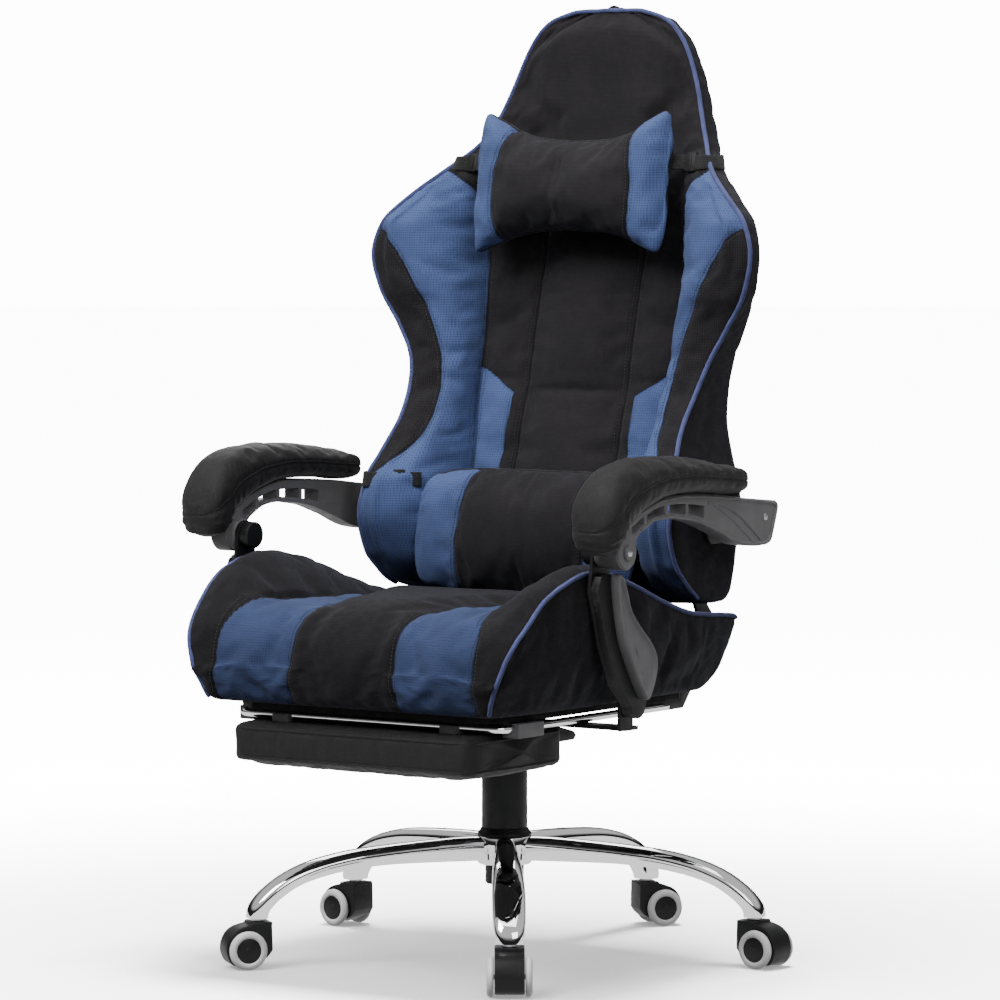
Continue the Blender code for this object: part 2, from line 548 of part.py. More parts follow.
# Rear cover: a thin curved panel that closes the pocket.
panel_rings = []
for z in [0.4920, 0.52, 0.5650, 0.60, 0.70, 0.80, 0.88, 0.95, 1.0, 1.04, 1.0530, 1.0750, 1.10]:
    w, yp, ys, yc, yr = lerp(BACK_ROWS, z)
    rim = min(0.205, w - 0.026) - 0.0040
    xs = [rim * k for k in (0.0, 0.25, 0.5, 0.75, 1.0)]
    rear = [(x, yr + (ys - yr) * (x / w) ** 2, z) for x in xs]
    front = [(x, y - 0.0040, z) for x, y, _ in rear[::-1]]
    panel_rings.append(rear + front + [(-x, y, z) for x, y, z in front[-2::-1]] + [(-x, y, z) for x, y, z in rear[:0:-1]])
pivot(loft("back_panel", panel_rings, BLACK_FABRIC), (0, RECL_Y, RECL_Z))

for s, side in ((-1, "right"), (1, "left")):
    # Back-side hinge plate, from the recline pivot into the back's pocket,
    # with its pivot pin through the seat-side plate.
    x0, x1 = sorted((s * 0.1772, s * 0.1822))
    knuckle = flat_outline("back_hinge_plate_" + side,
                           arc(RECL_Y, RECL_Z, 0.0170, 200, 340, 6)
                           + [(0.2150, 0.4400), (0.1790, 0.4790), (0.1790, 0.5400), (0.1685, 0.5400),
                              (0.1660, 0.4700), (0.1850, 0.4340)],
                           x0, x1, "X", BLACK_STEEL)
    add_round(knuckle, (s * 0.1650, RECL_Y, RECL_Z), (s * 0.1880, RECL_Y, RECL_Z), 0.0060, 16)
    add_round(knuckle, (s * 0.1695, 0.1725, 0.5300), (s * 0.1800, 0.1725, 0.5300), 0.0050, 12)
    pivot(knuckle, (0, RECL_Y, RECL_Z))

rl = tube("recline_lever", [(-0.1965, 0.2010, 0.4190), (-0.2440, 0.1920, 0.4050), (-0.2560, 0.1500, 0.3600),
                            (-0.2620, 0.0900, 0.3400)], 0.0045, BLACK_STEEL)
boolean(rl, box("recline_grip", (-0.2700, 0.0300, 0.3300), (-0.2540, 0.0950, 0.3480), None, 0.004, CUTTERS), "UNION")
add_round(rl, (-0.1890, RECL_Y, RECL_Z), (-0.2030, RECL_Y, RECL_Z), 0.0100, 16)
pivot(rl, (0, RECL_Y, RECL_Z))

# ------------------------------------------------------------------- pillows
# Lumbar pillow, as cross-sections from side to side.
LUMBAR = (
    (0.1860, 0.0180, 0.0380, 0.4980, 0.5980), (0.1800, 0.0140, 0.0440, 0.4860, 0.6100),
    (0.1600, 0.0100, 0.0600, 0.4760, 0.6200), (0.1200, 0.0080, 0.0860, 0.4745, 0.6250),
    (0.0800, 0.0080, 0.0960, 0.4740, 0.6265), (0.0000, 0.0080, 0.0980, 0.4740, 0.6270),
)


def pillow_ring(x, y0, y1, z0, z1, lean):
    ym, zm, hy, hz = (y0 + y1) / 2, (z0 + z1) / 2, (y1 - y0) / 2, (z1 - z0) / 2
    ring = []
    for k in range(14):
        a = 2 * math.pi * (k + 0.5) / 14
        ca, sa = math.cos(a), math.sin(a)
        dy = hy * math.copysign(abs(ca) ** 0.8, ca)
        dz = hz * math.copysign(abs(sa) ** 0.6, sa)
        ring.append((x, ym + dy + dz * lean, zm + dz))
    return ring


rows = list(LUMBAR) + [(-r[0], *r[1:]) for r in LUMBAR[-2::-1]]
lumbar = loft("lumbar_pillow", [pillow_ring(x, a, b, c, d, 0.16) for x, a, b, c, d in rows], BLACK_FABRIC)
pivot(lumbar, (0, 0.0600, 0.5500))
NECK = (
    (0.1480, 0.1500, 0.1600, 0.9300, 1.0780), (0.1420, 0.1400, 0.1680, 0.9200, 1.0860),
    (0.1200, 0.1280, 0.1830, 0.9250, 1.0800), (0.0900, 0.1200, 0.2000, 0.9330, 1.0700),
    (0.0500, 0.1160, 0.2080, 0.9380, 1.0620), (0.0000, 0.1150, 0.2090, 0.9400, 1.0600),
)
rows = list(NECK) + [(-r[0], *r[1:]) for r in NECK[-2::-1]]
neck = loft("neck_pillow", [pillow_ring(x, a, b, c, d, 0.14) for x, a, b, c, d in rows], BLACK_FABRIC)
pivot(neck, (0, 0.1600, 1.0000))


def strap(name, z0, half, gap, start):
    """A flat elastic band round the back, from one pillow end to the other."""
    def path(z):
        w, yp, ys, yc, yr = lerp(BACK_ROWS, z)
        pts = [start, (w + gap - 0.014, yp - gap - 0.004), (w + gap, yp + 0.004), (w + gap, ys - 0.012),
               (w + gap - 0.008, ys + gap)]
        pts += [(w * k, yr + (ys - yr) * k * k + gap) for k in (0.75, 0.5, 0.25, 0.0)]
        return pts + [(-x, y) for x, y in pts[-2::-1]]

    low, high = path(z0 - half), path(z0 + half)
    rings = []
    for i in range(len(low)):
        a, b = low[max(0, i - 1)], low[min(len(low) - 1, i + 1)]
        d = Vector((b[0] - a[0], b[1] - a[1]))
        d.normalize()
        n = Vector((d.y, -d.x)) * 0.0008
        (x, y), (u, v) = low[i], high[i]
        rings.append([(x + n.x, y + n.y, z0 - half), (u + n.x, v + n.y, z0 + half),
                      (u - n.x, v - n.y, z0 + half), (x - n.x, y - n.y, z0 - half)])
    return loft(name, rings, WEBBING, smooth=30)


pivot(strap("neck_strap", 1.0000, 0.0100, 0.0065, (0.1530, 0.1540)), (0, 0.1600, 1.0000))
pivot(strap("lumbar_strap", 0.6120, 0.0100, 0.0070, (0.1900, 0.0280)), (0, 0.0600, 0.5500))

# ------------------------------------------------------------------ armrests
for s, side in ((-1, "right"), (1, "left")):
    def X(a, b):
        return sorted((s * a, s * b))

    # Bracket from the seat plate out to the upright's lower pivot, with a stud.
    lo, hi = X(0.1200, 0.2735)
    br = box("arm_base_bracket_" + side, (lo, ARM_P0[0] - 0.0040, 0.3195), (hi, ARM_P0[0] + 0.0260, 0.3245),
             BLACK_STEEL, 0)
    lo, hi = X(0.2685, 0.2735)
    add_block(br, (lo, ARM_P0[0] - 0.0140, 0.3200), (hi, ARM_P0[0] + 0.0140, 0.3660))
    lo, hi = X(0.1200, 0.1245)
    add_block(br, (lo, ARM_P0[0] - 0.0040, 0.3200), (hi, ARM_P0[0] + 0.0260, 0.3266))
    add_round(br, (s * 0.2700, *ARM_P0), (s * 0.2905, *ARM_P0), 0.0060, 16)
    pivot(br, (0, TILT_Y, TILT_Z))

    # Upright: a black steel plate from the lower pivot to the clevis.
    x0, x1 = X(0.2745, 0.2795)
    up = flat_outline("arm_upright_" + side,
                      arc(ARM_P0[0], ARM_P0[1], 0.0160, 180, 350, 6)
                      + [(-0.0960, 0.3900), (-0.1180, 0.4400), (-0.1500, 0.4900), (-0.1720, 0.5200)]
                      + arc(ARM_P1[0], ARM_P1[1], 0.0185, -10, 190, 8)
                      + [(-0.2120, 0.5250), (-0.2170, 0.5000), (-0.1950, 0.4300), (-0.1700, 0.3800)],
                      x0, x1, "X", BLACK_STEEL)
    cut_round(up, (x0 - 0.01, *ARM_P0), (x1 + 0.01, *ARM_P0), 0.0064, 16)
    cut_round(up, (x0 - 0.01, *ARM_P1), (x1 + 0.01, *ARM_P1), 0.0054, 16)
    pivot(up, (s * 0.2770, *ARM_P0))

    # Grey teardrop cover on the upright's outer side.
    x0, x1 = X(0.2915, 0.3050)
    drop = flat_outline("arm_upright_cover_" + side,
                        [(-0.1880, 0.5170), (-0.1790, 0.5180), (-0.1690, 0.5005), (-0.1600, 0.4760), (-0.1390, 0.4530),
                         (-0.1140, 0.4310), (-0.1010, 0.4110), (-0.1030, 0.3890), (-0.1150, 0.3650), (-0.1230, 0.3600),
                         (-0.1330, 0.3700), (-0.1560, 0.4050), (-0.1740, 0.4400), (-0.1840, 0.4800)],
                        x0, x1, "X", GREY_PLASTIC, bevel=0.0025)
    lo, hi = X(0.2799, 0.2930)
    add_block(drop, (lo, -0.1620, 0.4300), (hi, -0.1460, 0.4560))
    pivot(drop, (s * 0.2770, *ARM_P0))

    # Armrest frame: an arc of moulded plastic from the front pivot to the back.
    x0, x1 = X(0.2905, 0.3185)
    rail = flat_outline("armrest_frame_" + side,
                        arc(ARM_P1[0], ARM_P1[1], 0.0220, 190, 335, 6)
                        + [(-0.1600, 0.5700), (-0.1300, 0.5830), (-0.0870, 0.5850), (-0.0300, 0.5770), (0.0250, 0.5600),
                           (0.0620, 0.5460), (0.1000, 0.5400), (0.1340, 0.5400), (0.1500, 0.5540), (0.1620, 0.5860),
                           (0.1560, 0.5960), (0.0780, 0.6030), (0.0200, 0.6095), (-0.0600, 0.6140), (-0.1130, 0.6110),
                           (-0.1640, 0.5960), (-0.2020, 0.5740), (-0.2100, 0.5620)],
                        x0, x1, "X", GREY_PLASTIC)
    # Rear tongue that reaches in to the back's side, and the front boss.
    lo, hi = X(0.2560, 0.2920)
    add_block(rail, (lo, 0.1180, 0.5460), (hi, 0.1540, 0.5900))
    lo, hi = X(0.2799, 0.2920)
    add_round(rail, (s * 0.2801, *ARM_P1), (s * 0.2920, *ARM_P1), 0.0180, 20)
    cut_round(rail, (s * 0.2450, *ARM_P2), (s * 0.2850, *ARM_P2), 0.0060 + P2_CLEAR, 20)
    cut_round(rail, (s * 0.2700, *ARM_P1), (s * 0.3300, *ARM_P1), 0.0054, 16)
    pivot(rail, (s * 0.3000, *ARM_P1))

    # Front pivot bolt through the upright and the frame.
    bolt = cylinder("armrest_pivot_bolt_" + side, (s * 0.2738, *ARM_P1), (s * 0.3188, *ARM_P1), 0.0050, ZINC, 16)
    add_round(bolt, (s * 0.3188, *ARM_P1), (s * 0.3225, *ARM_P1), 0.0110, 20)
    pivot(bolt, (s * 0.3000, *ARM_P1))

    # Leather pad along the frame's top, drooping over the front pivot.
    PAD = ((-0.2620, 0.5640, 0.5900, 0.020), (-0.2570, 0.5530, 0.6080, 0.028), (-0.2480, 0.5480, 0.6240, 0.033),
           (-0.2360, 0.5470, 0.6360, 0.035), (-0.2240, 0.5510, 0.6440, 0.035), (-0.2120, 0.5710, 0.6500, 0.035),
           (-0.2000, 0.5810, 0.6540, 0.035), (-0.1800, 0.5910, 0.6580, 0.035), (-0.1640, 0.5990, 0.6600, 0.035),
           (-0.1130, 0.6130, 0.6600, 0.035), (-0.0600, 0.6155, 0.6570, 0.035), (0.0000, 0.6125, 0.6510, 0.034),
           (0.0400, 0.6095, 0.6450, 0.033), (0.0580, 0.6100, 0.6390, 0.028), (0.0640, 0.6130, 0.6310, 0.020))
    rings = []
    for y, zb, zt, w in PAD:
        cx = s * 0.3050
        zm, hz = (zb + zt) / 2, (zt - zb) / 2
        rings.append([(cx + s * w * a, y, zm + hz * b) for a, b in
                      ((-0.80, -1.0), (0.80, -1.0), (1.0, -0.65), (1.0, 0.25), (0.82, 0.72), (0.45, 0.97),
                       (-0.45, 0.97), (-0.82, 0.72), (-1.0, 0.25), (-1.0, -0.65))])
    padm = loft("armrest_pad_" + side, rings, LEATHER)
    pivot(padm, (s * 0.3000, *ARM_P1))

    # Rear bracket on the back's side, with the pin that the frame hangs on.
    x0, x1 = X(0.2475, 0.2540)
    rb = flat_outline("armrest_rear_bracket_" + side,
                      [(0.1000, 0.5400), (0.1700, 0.5400), (0.1780, 0.5480), (0.1780, 0.5900), (0.1700, 0.5980),
                       (0.1000, 0.5980), (0.0920, 0.5900), (0.0920, 0.5480)], x0, x1, "X", BLACK_STEEL)
    add_round(rb, (s * 0.2530, *ARM_P2), (s * 0.2800, *ARM_P2), 0.0060, 16)
    pivot(rb, (0, RECL_Y, RECL_Z))

bpy.context.view_layer.update()
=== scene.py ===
import math

import bmesh
import bpy
import numpy as np
from mathutils import Matrix, Vector
from mathutils.bvhtree import BVHTree


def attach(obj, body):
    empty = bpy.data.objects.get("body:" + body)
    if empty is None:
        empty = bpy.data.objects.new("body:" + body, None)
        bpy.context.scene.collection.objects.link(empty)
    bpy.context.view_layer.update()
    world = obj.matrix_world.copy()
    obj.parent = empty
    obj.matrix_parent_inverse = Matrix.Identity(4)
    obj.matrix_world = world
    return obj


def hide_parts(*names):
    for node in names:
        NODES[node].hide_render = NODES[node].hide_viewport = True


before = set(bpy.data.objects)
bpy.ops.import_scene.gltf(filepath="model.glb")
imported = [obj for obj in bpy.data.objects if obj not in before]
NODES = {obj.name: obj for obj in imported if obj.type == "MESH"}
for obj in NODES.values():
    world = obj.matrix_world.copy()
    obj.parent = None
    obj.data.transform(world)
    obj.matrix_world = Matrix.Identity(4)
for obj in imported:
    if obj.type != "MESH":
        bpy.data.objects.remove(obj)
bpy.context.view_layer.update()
SCENE = bpy.context.scene
COLL = SCENE.collection
RNG = np.random.default_rng(7)

# ===================================================================== camera
AZ, EL, DIST, LENS = math.radians(35.0), math.radians(3.4), 6.6, 5095.0 / 1000 * 36
TARGET = Vector((-0.0049, -0.0034, 0.5930))
cam_data = bpy.data.cameras.new("camera")
cam_data.sensor_width, cam_data.lens = 36.0, LENS
cam = bpy.data.objects.new("camera", cam_data)
COLL.objects.link(cam)
away = Vector((math.sin(AZ) * math.cos(EL), -math.cos(AZ) * math.cos(EL), math.sin(EL)))
cam.location = TARGET + away * DIST
cam.rotation_euler = away.to_track_quat("Z", "Y").to_euler()
cam_data.clip_end = 200
SCENE.camera = cam


# ================================================================ numbers
def smooth01(t):
    t = np.clip(t, 0, 1)
    return t * t * (3 - 2 * t)


def rows_at(table, ts):
    """Smooth (monotone cubic) reading of a table whose first column rises."""
    tab = np.asarray(table, float)
    x, ys = tab[:, 0], tab[:, 1:]
    h = np.diff(x)
    d = np.diff(ys, axis=0) / h[:, None]
    m = np.zeros_like(ys)
    m[1:-1] = np.where(d[:-1] * d[1:] > 0, 2 * d[:-1] * d[1:] / (d[:-1] + d[1:] + 1e-12 * np.sign(d[:-1] + d[1:] + 1e-30)), 0)
    m[0], m[-1] = d[0], d[-1]
    ts = np.clip(np.asarray(ts, float), x[0], x[-1])
    i = np.clip(np.searchsorted(x, ts, "right") - 1, 0, len(x) - 2)
    t = ((ts - x[i]) / h[i])[..., None]
    hh = h[i][..., None]
    return ((2 * t**3 - 3 * t**2 + 1) * ys[i] + (t**3 - 2 * t**2 + t) * hh * m[i]
            + (-2 * t**3 + 3 * t**2) * ys[i + 1] + (t**3 - t**2) * hh * m[i + 1])


def catmull(points, per=8, closed=False):
    """A smooth line through the points."""
    p = np.asarray(points, float)
    n = len(p)
    out = []
    spans = n if closed else n - 1
    for i in range(spans):
        if closed:
            a, b, c, d = p[(i - 1) % n], p[i], p[(i + 1) % n], p[(i + 2) % n]
        else:
            a, b, c, d = p[max(i - 1, 0)], p[i], p[i + 1], p[min(i + 2, n - 1)]
        for k in range(per):
            t = k / per
            out.append(0.5 * (2 * b + (c - a) * t + (2 * a - 5 * b + 4 * c - d) * t * t
                              + (3 * b - a - 3 * c + d) * t**3))
    if not closed:
        out.append(p[-1])
    return np.array(out)


def resample(path, step=None, n=None, closed=False):
    """Points evenly spaced along a line."""
    p = np.asarray(path, float)
    if closed:
        p = np.vstack([p, p[:1]])
    s = np.concatenate([[0], np.cumsum(np.linalg.norm(np.diff(p, axis=0), axis=1))])
    if n is None:
        n = max(2, int(round(s[-1] / step)) + 1)
    t = np.linspace(0, s[-1], n + 1)[:-1] if closed else np.linspace(0, s[-1], n)
    return np.stack([np.interp(t, s, p[:, k]) for k in range(p.shape[1])], 1)


def dist_line(P, line):
    """Distance of 2-D or 3-D points to an open line."""
    P, line = np.asarray(P, float), np.asarray(line, float)
    best = np.full(len(P), 1e9)
    for a, b in zip(line, line[1:]):
        ab = b - a
        t = np.clip(((P - a) @ ab) / max(ab @ ab, 1e-12), 0, 1)
        best = np.minimum(best, np.linalg.norm(P - (a + t[:, None] * ab), axis=1))
    return best


def inside(P, poly):
    """Whether 2-D points lie in a closed outline."""
    P, poly = np.asarray(P, float), np.asarray(poly, float)
    flag = np.zeros(len(P), bool)
    for a, b in zip(poly, np.roll(poly, -1, axis=0)):
        cross = (a[1] > P[:, 1]) != (b[1] > P[:, 1])
        with np.errstate(divide="ignore", invalid="ignore"):
            xi = a[0] + (P[:, 1] - a[1]) / (b[1] - a[1]) * (b[0] - a[0])
        flag ^= cross & (P[:, 0] < xi)
    return flag


def sd_poly(P, poly):
    """Signed distance to a closed outline, positive inside it."""
    d = dist_line(P, np.vstack([poly, poly[:1]]))
    return np.where(inside(P, poly), d, -d)


def waves(P, scale, seed=0, octaves=3):
    """Smooth value noise about zero from summed sines, the same each run."""
    rng = np.random.default_rng(seed)
    out = np.zeros(len(P))
    amp, total = 1.0, 0.0
    for o in range(octaves):
        for _ in range(5):
            k = rng.normal(size=3)
            k *= 2 * math.pi / (scale / 2**o) / np.linalg.norm(k)
            out += amp / 5 * np.sin(P @ k + rng.uniform(0, 6.28))
        total += amp
        amp *= 0.5
    return out / total * 1.6


# =============================================================== mesh helpers
def mesh_obj(name, verts, faces, mat=None, smooth=True, angle=None):
    me = bpy.data.meshes.new(name)
    me.from_pydata([tuple(v) for v in verts], [], [tuple(f) for f in faces])
    me.validate()
    if smooth:
        me.shade_smooth()
        if angle:
            me.set_sharp_from_angle(angle=math.radians(angle))
    ob = bpy.data.objects.new(name, me)
    COLL.objects.link(ob)
    if mat:
        me.materials.append(mat)
    return ob


def coords(ob):
    co = np.zeros(len(ob.data.vertices) * 3)
    ob.data.vertices.foreach_get("co", co)
    return co.reshape(-1, 3)


def set_coords(ob, co):
    ob.data.vertices.foreach_set("co", np.asarray(co, np.float32).ravel())
    ob.data.update()


def vnormals(ob):
    ob.data.update()
    no = np.zeros(len(ob.data.vertices) * 3, np.float32)
    ob.data.vertices.foreach_get("normal", no)
    return no.reshape(-1, 3).astype(float)


def attr(ob, name, values):
    a = ob.data.attributes.get(name) or ob.data.attributes.new(name, "FLOAT", "POINT")
    a.data.foreach_set("value", np.asarray(values, np.float32))


def get_attr(ob, name):
    a = ob.data.attributes[name]
    out = np.zeros(len(a.data), np.float32)
    a.data.foreach_get("value", out)
    return out.astype(float)


def bake(ob):
    """Replace an object's mesh by its evaluated one."""
    deps = bpy.context.evaluated_depsgraph_get()
    deps.update()
    me = bpy.data.meshes.new_from_object(ob.evaluated_get(deps), preserve_all_data_layers=True, depsgraph=deps)
    ob.modifiers.clear()
    old = ob.data
    ob.data = me
    me.name = ob.name
    if old.users == 0:
        bpy.data.meshes.remove(old)
    me.shade_smooth()
    return ob


def subdivide(ob, levels=1, simple=False):
    m = ob.modifiers.new("subdivision", "SUBSURF")
    m.levels = m.render_levels = levels
    if simple:
        m.subdivision_type = "SIMPLE"
    return bake(ob)


def recalc(ob):
    bm = bmesh.new()
    bm.from_mesh(ob.data)
    bmesh.ops.recalc_face_normals(bm, faces=bm.faces[:])
    bm.to_mesh(ob.data)
    bm.free()
    return ob


def rings_obj(name, rings, mat=None, dome=True, closed=False, dome_h=(0.0, 0.0), attrs=None):
    """A closed skin through rings of the same count, with domed ends."""
    rings = [np.asarray(r, float) for r in rings]
    n = len(rings[0])
    if dome and not closed:
        for end, h in ((0, dome_h[0]), (-1, dome_h[1])):
            ring = rings[end]
            nxt = rings[1] if end == 0 else rings[-2]
            c = ring.mean(0)
            out = c - nxt.mean(0)
            out /= np.linalg.norm(out) + 1e-12
            extra = [c + (ring - c) * k + out * h * math.sqrt(max(0.0, 1 - k * k)) for k in (0.80, 0.55, 0.28)]
            rings = extra[::-1] + rings if end == 0 else rings + extra
    verts = np.vstack(rings)
    faces = []
    m = len(rings)
    for a in range(m if closed else m - 1):
        b = (a + 1) % m
        for i in range(n):
            j = (i + 1) % n
            faces.append((a * n + i, a * n + j, b * n + j, b * n + i))
    if not closed:
        extra = []
        for end, row in ((0, 0), (-1, m - 1)):
            c = rings[end].mean(0)
            if dome:
                other = rings[1] if end == 0 else rings[-2]
                o = c - other.mean(0)
                c = c + o * 0.15
            extra.append(c)
        verts = np.vstack([verts, extra])
        k0, k1 = m * n, m * n + 1
        for i in range(n):
            j = (i + 1) % n
            faces.append((k0, j, i))
            faces.append((k1, (m - 1) * n + i, (m - 1) * n + j))
    ob = mesh_obj(name, verts, faces, mat)
    return recalc(ob)


def frames_along(path, closed=False, up=None):
    """Tangent, side and up vectors carried along a line without twist."""
    p = np.asarray(path, float)
    if closed:
        t = np.roll(p, -1, 0) - np.roll(p, 1, 0)
    else:
        t = np.gradient(p, axis=0)
    t /= np.linalg.norm(t, axis=1)[:, None] + 1e-12
    if up is not None:
        u = np.asarray(up, float)
        if u.ndim == 1:
            u = np.tile(u, (len(p), 1))
        u = u - (u * t).sum(1)[:, None] * t
        u /= np.linalg.norm(u, axis=1)[:, None] + 1e-12
        return t, np.cross(t, u), u
    ref = np.array([0, 0, 1.0]) if abs(t[0][2]) < 0.9 else np.array([1.0, 0, 0])
    u0 = ref - ref @ t[0] * t[0]
    u0 /= np.linalg.norm(u0)
    us = [u0]
    for i in range(1, len(p)):
        u = us[-1] - (us[-1] @ t[i]) * t[i]
        us.append(u / np.linalg.norm(u))
    u = np.array(us)
    return t, np.cross(t, u), u


def sweep(name, path, r, mat=None, n=12, closed=False, up=None, flat=1.0, angle=None):
    """A round or oval bar along a line; r may change along it."""
    p = np.asarray(path, float)
    t, side, u = frames_along(p, closed, up)
    rr = np.broadcast_to(np.asarray(r, float), (len(p),))
    a = np.arange(n) * 2 * math.pi / n
    rings = [p[i] + np.outer(np.cos(a) * rr[i], side[i]) + np.outer(np.sin(a) * rr[i] * flat, u[i]) for i in range(len(p))]
    ob = rings_obj(name, rings, mat, dome=not closed, closed=closed,
                   dome_h=(rr[0] * 0.5, rr[-1] * 0.5))
    return ob


def band(name, path, normals, half, thick, mat=None):
    """A flat strap along a line, with rounded edges; normals point off the body."""
    p = np.asarray(path, float)
    t, side, u = frames_along(p, up=normals)
    prof = [(-1, -0.2), (-0.985, 0.35), (-0.95, 0.5), (-0.6, 0.55), (0, 0.55), (0.6, 0.55), (0.95, 0.5), (0.985, 0.35), (1, -0.2),
            (0.985, -0.5), (0.6, -0.5), (0, -0.5), (-0.6, -0.5), (-0.985, -0.5)]
    rings = [[p[i] + side[i] * (a * half) + u[i] * (b * thick) for a, b in prof] for i in range(len(p))]
    return rings_obj(name, rings, mat, dome=False)


def turned(name, profile, mat=None, n=48, angle=35, bevel=None):
    """A profile of (radius, z) from top to bottom, turned about Z."""
    prof = [np.array(q, float) for q in profile]
    verts, rings_i = [], []
    for r, z in prof:
        if r < 1e-7:
            rings_i.append([len(verts)])
            verts.append((0, 0, z))
        else:
            rings_i.append(list(range(len(verts), len(verts) + n)))
            verts += [(r * math.cos(2 * math.pi * k / n), r * math.sin(2 * math.pi * k / n), z) for k in range(n)]
    faces = []
    loop = list(zip(rings_i, rings_i[1:]))
    if prof[0][0] > 1e-6:
        loop.append((rings_i[-1], rings_i[0]))
    for a, b in loop:
        for k in range(n):
            j = (k + 1) % n
            if len(a) == 1 and len(b) == 1:
                continue
            if len(a) == 1:
                faces.append((a[0], b[k], b[j]))
            elif len(b) == 1:
                faces.append((a[k], b[0], a[j]))
            else:
                faces.append((a[k], b[k], b[j], a[j]))
    ob = mesh_obj(name, verts, faces, mat)
    recalc(ob)
    if bevel:
        m = ob.modifiers.new("round", "BEVEL")
        m.width, m.segments, m.limit_method, m.angle_limit = bevel, 3, "ANGLE", math.radians(40)
        bake(ob)
    ob.data.set_sharp_from_angle(angle=math.radians(angle))
    return ob


def plate(name, outline, x0, x1, mat=None, bevel=0.0015, holes=(), axis="X", res=3):
    """A flat outline (y, z), rounded at its edges, from x0 to x1, with holes."""
    cu = bpy.data.curves.new(name, "CURVE")
    cu.dimensions, cu.fill_mode = "2D", "BOTH"
    cu.extrude = abs(x1 - x0) / 2 - bevel
    cu.bevel_depth, cu.bevel_resolution, cu.offset = bevel, res, -bevel
    for pts in [outline, *holes]:
        sp = cu.splines.new("POLY")
        sp.points.add(len(pts) - 1)
        for p, q in zip(sp.points, pts):
            p.co = (q[0], q[1], 0, 1)
        sp.use_cyclic_u = True
    tmp = bpy.data.objects.new(name + "_c", cu)
    COLL.objects.link(tmp)
    deps = bpy.context.evaluated_depsgraph_get()
    me = bpy.data.meshes.new_from_object(tmp.evaluated_get(deps))
    bpy.data.objects.remove(tmp, do_unlink=True)
    bm = bmesh.new()
    bm.from_mesh(me)
    bmesh.ops.remove_doubles(bm, verts=bm.verts[:], dist=0.00001)
    mid = (x0 + x1) / 2
    turn = Matrix(((0, 0, 1, mid), (1, 0, 0, 0), (0, 1, 0, 0), (0, 0, 0, 1)))
    if axis == "Z":
        turn = Matrix.Translation((0, 0, mid))
    elif axis == "Y":
        turn = Matrix(((1, 0, 0, 0), (0, 0, -1, mid), (0, 1, 0, 0), (0, 0, 0, 1)))
    bmesh.ops.transform(bm, matrix=turn, verts=bm.verts[:])
    bmesh.ops.recalc_face_normals(bm, faces=bm.faces[:])
    bm.to_mesh(me)
    bm.free()
    me.shade_smooth()
    me.set_sharp_from_angle(angle=math.radians(50))
    me.materials.clear()
    ob = bpy.data.objects.new(name, me)
    COLL.objects.link(ob)
    if mat:
        me.materials.append(mat)
    return ob


def join(name, *obs):
    """One object from several, keeping each one's own material."""
    me = bpy.data.meshes.new(name)
    bm = bmesh.new()
    mats = []
    for ob in obs:
        start = len(bm.faces)
        bm.from_mesh(ob.data)
        bm.faces.ensure_lookup_table()
        remap = []
        for m in ob.data.materials:
            if m not in mats:
                mats.append(m)
            remap.append(mats.index(m))
        for f in bm.faces[start:]:
            if remap:
                f.material_index = remap[min(f.material_index, len(remap) - 1)]
    bm.to_mesh(me)
    bm.free()
    for m in mats:
        me.materials.append(m)
    new = bpy.data.objects.new(name, me)
    COLL.objects.link(new)
    for ob in obs:
        bpy.data.objects.remove(ob, do_unlink=True)
    return new


def cyl(name, a, b, r, mat=None, n=32, bevel=0.0008, r2=None):
    """A round bar between two points, its rims rounded."""
    a, b = Vector(a), Vector(b)
    d = b - a
    bm = bmesh.new()
    bmesh.ops.create_cone(bm, cap_ends=True, segments=n, radius1=r, radius2=r if r2 is None else r2, depth=d.length)
    rot = Vector((0, 0, 1)).rotation_difference(d.normalized()).to_matrix().to_4x4()
    if bevel:
        es = [e for e in bm.edges if len(e.link_faces) == 2 and e.calc_face_angle(0) > 1.0]
        bmesh.ops.bevel(bm, geom=es, offset=bevel, segments=3, affect="EDGES", profile=0.5)
    bmesh.ops.transform(bm, matrix=Matrix.Translation((a + b) / 2) @ rot, verts=bm.verts)
    me = bpy.data.meshes.new(name)
    bm.to_mesh(me)
    bm.free()
    me.shade_smooth()
    me.set_sharp_from_angle(angle=math.radians(35))
    ob = bpy.data.objects.new(name, me)
    COLL.objects.link(ob)
    if mat:
        me.materials.append(mat)
    return ob


def block(name, lo, hi, mat=None, bevel=0.002, segs=3):
    """A block with rounded edges."""
    bm = bmesh.new()
    bmesh.ops.create_cube(bm, size=1)
    bmesh.ops.scale(bm, vec=[h - l for l, h in zip(lo, hi)], verts=bm.verts)
    bmesh.ops.translate(bm, vec=[(h + l) / 2 for l, h in zip(lo, hi)], verts=bm.verts)
    bmesh.ops.bevel(bm, geom=bm.edges[:], offset=bevel, segments=segs, affect="EDGES", profile=0.5)
    bmesh.ops.recalc_face_normals(bm, faces=bm.faces[:])
    me = bpy.data.meshes.new(name)
    bm.to_mesh(me)
    bm.free()
    me.shade_smooth()
    me.set_sharp_from_angle(angle=math.radians(35))
    ob = bpy.data.objects.new(name, me)
    COLL.objects.link(ob)
    if mat:
        me.materials.append(mat)
    return ob


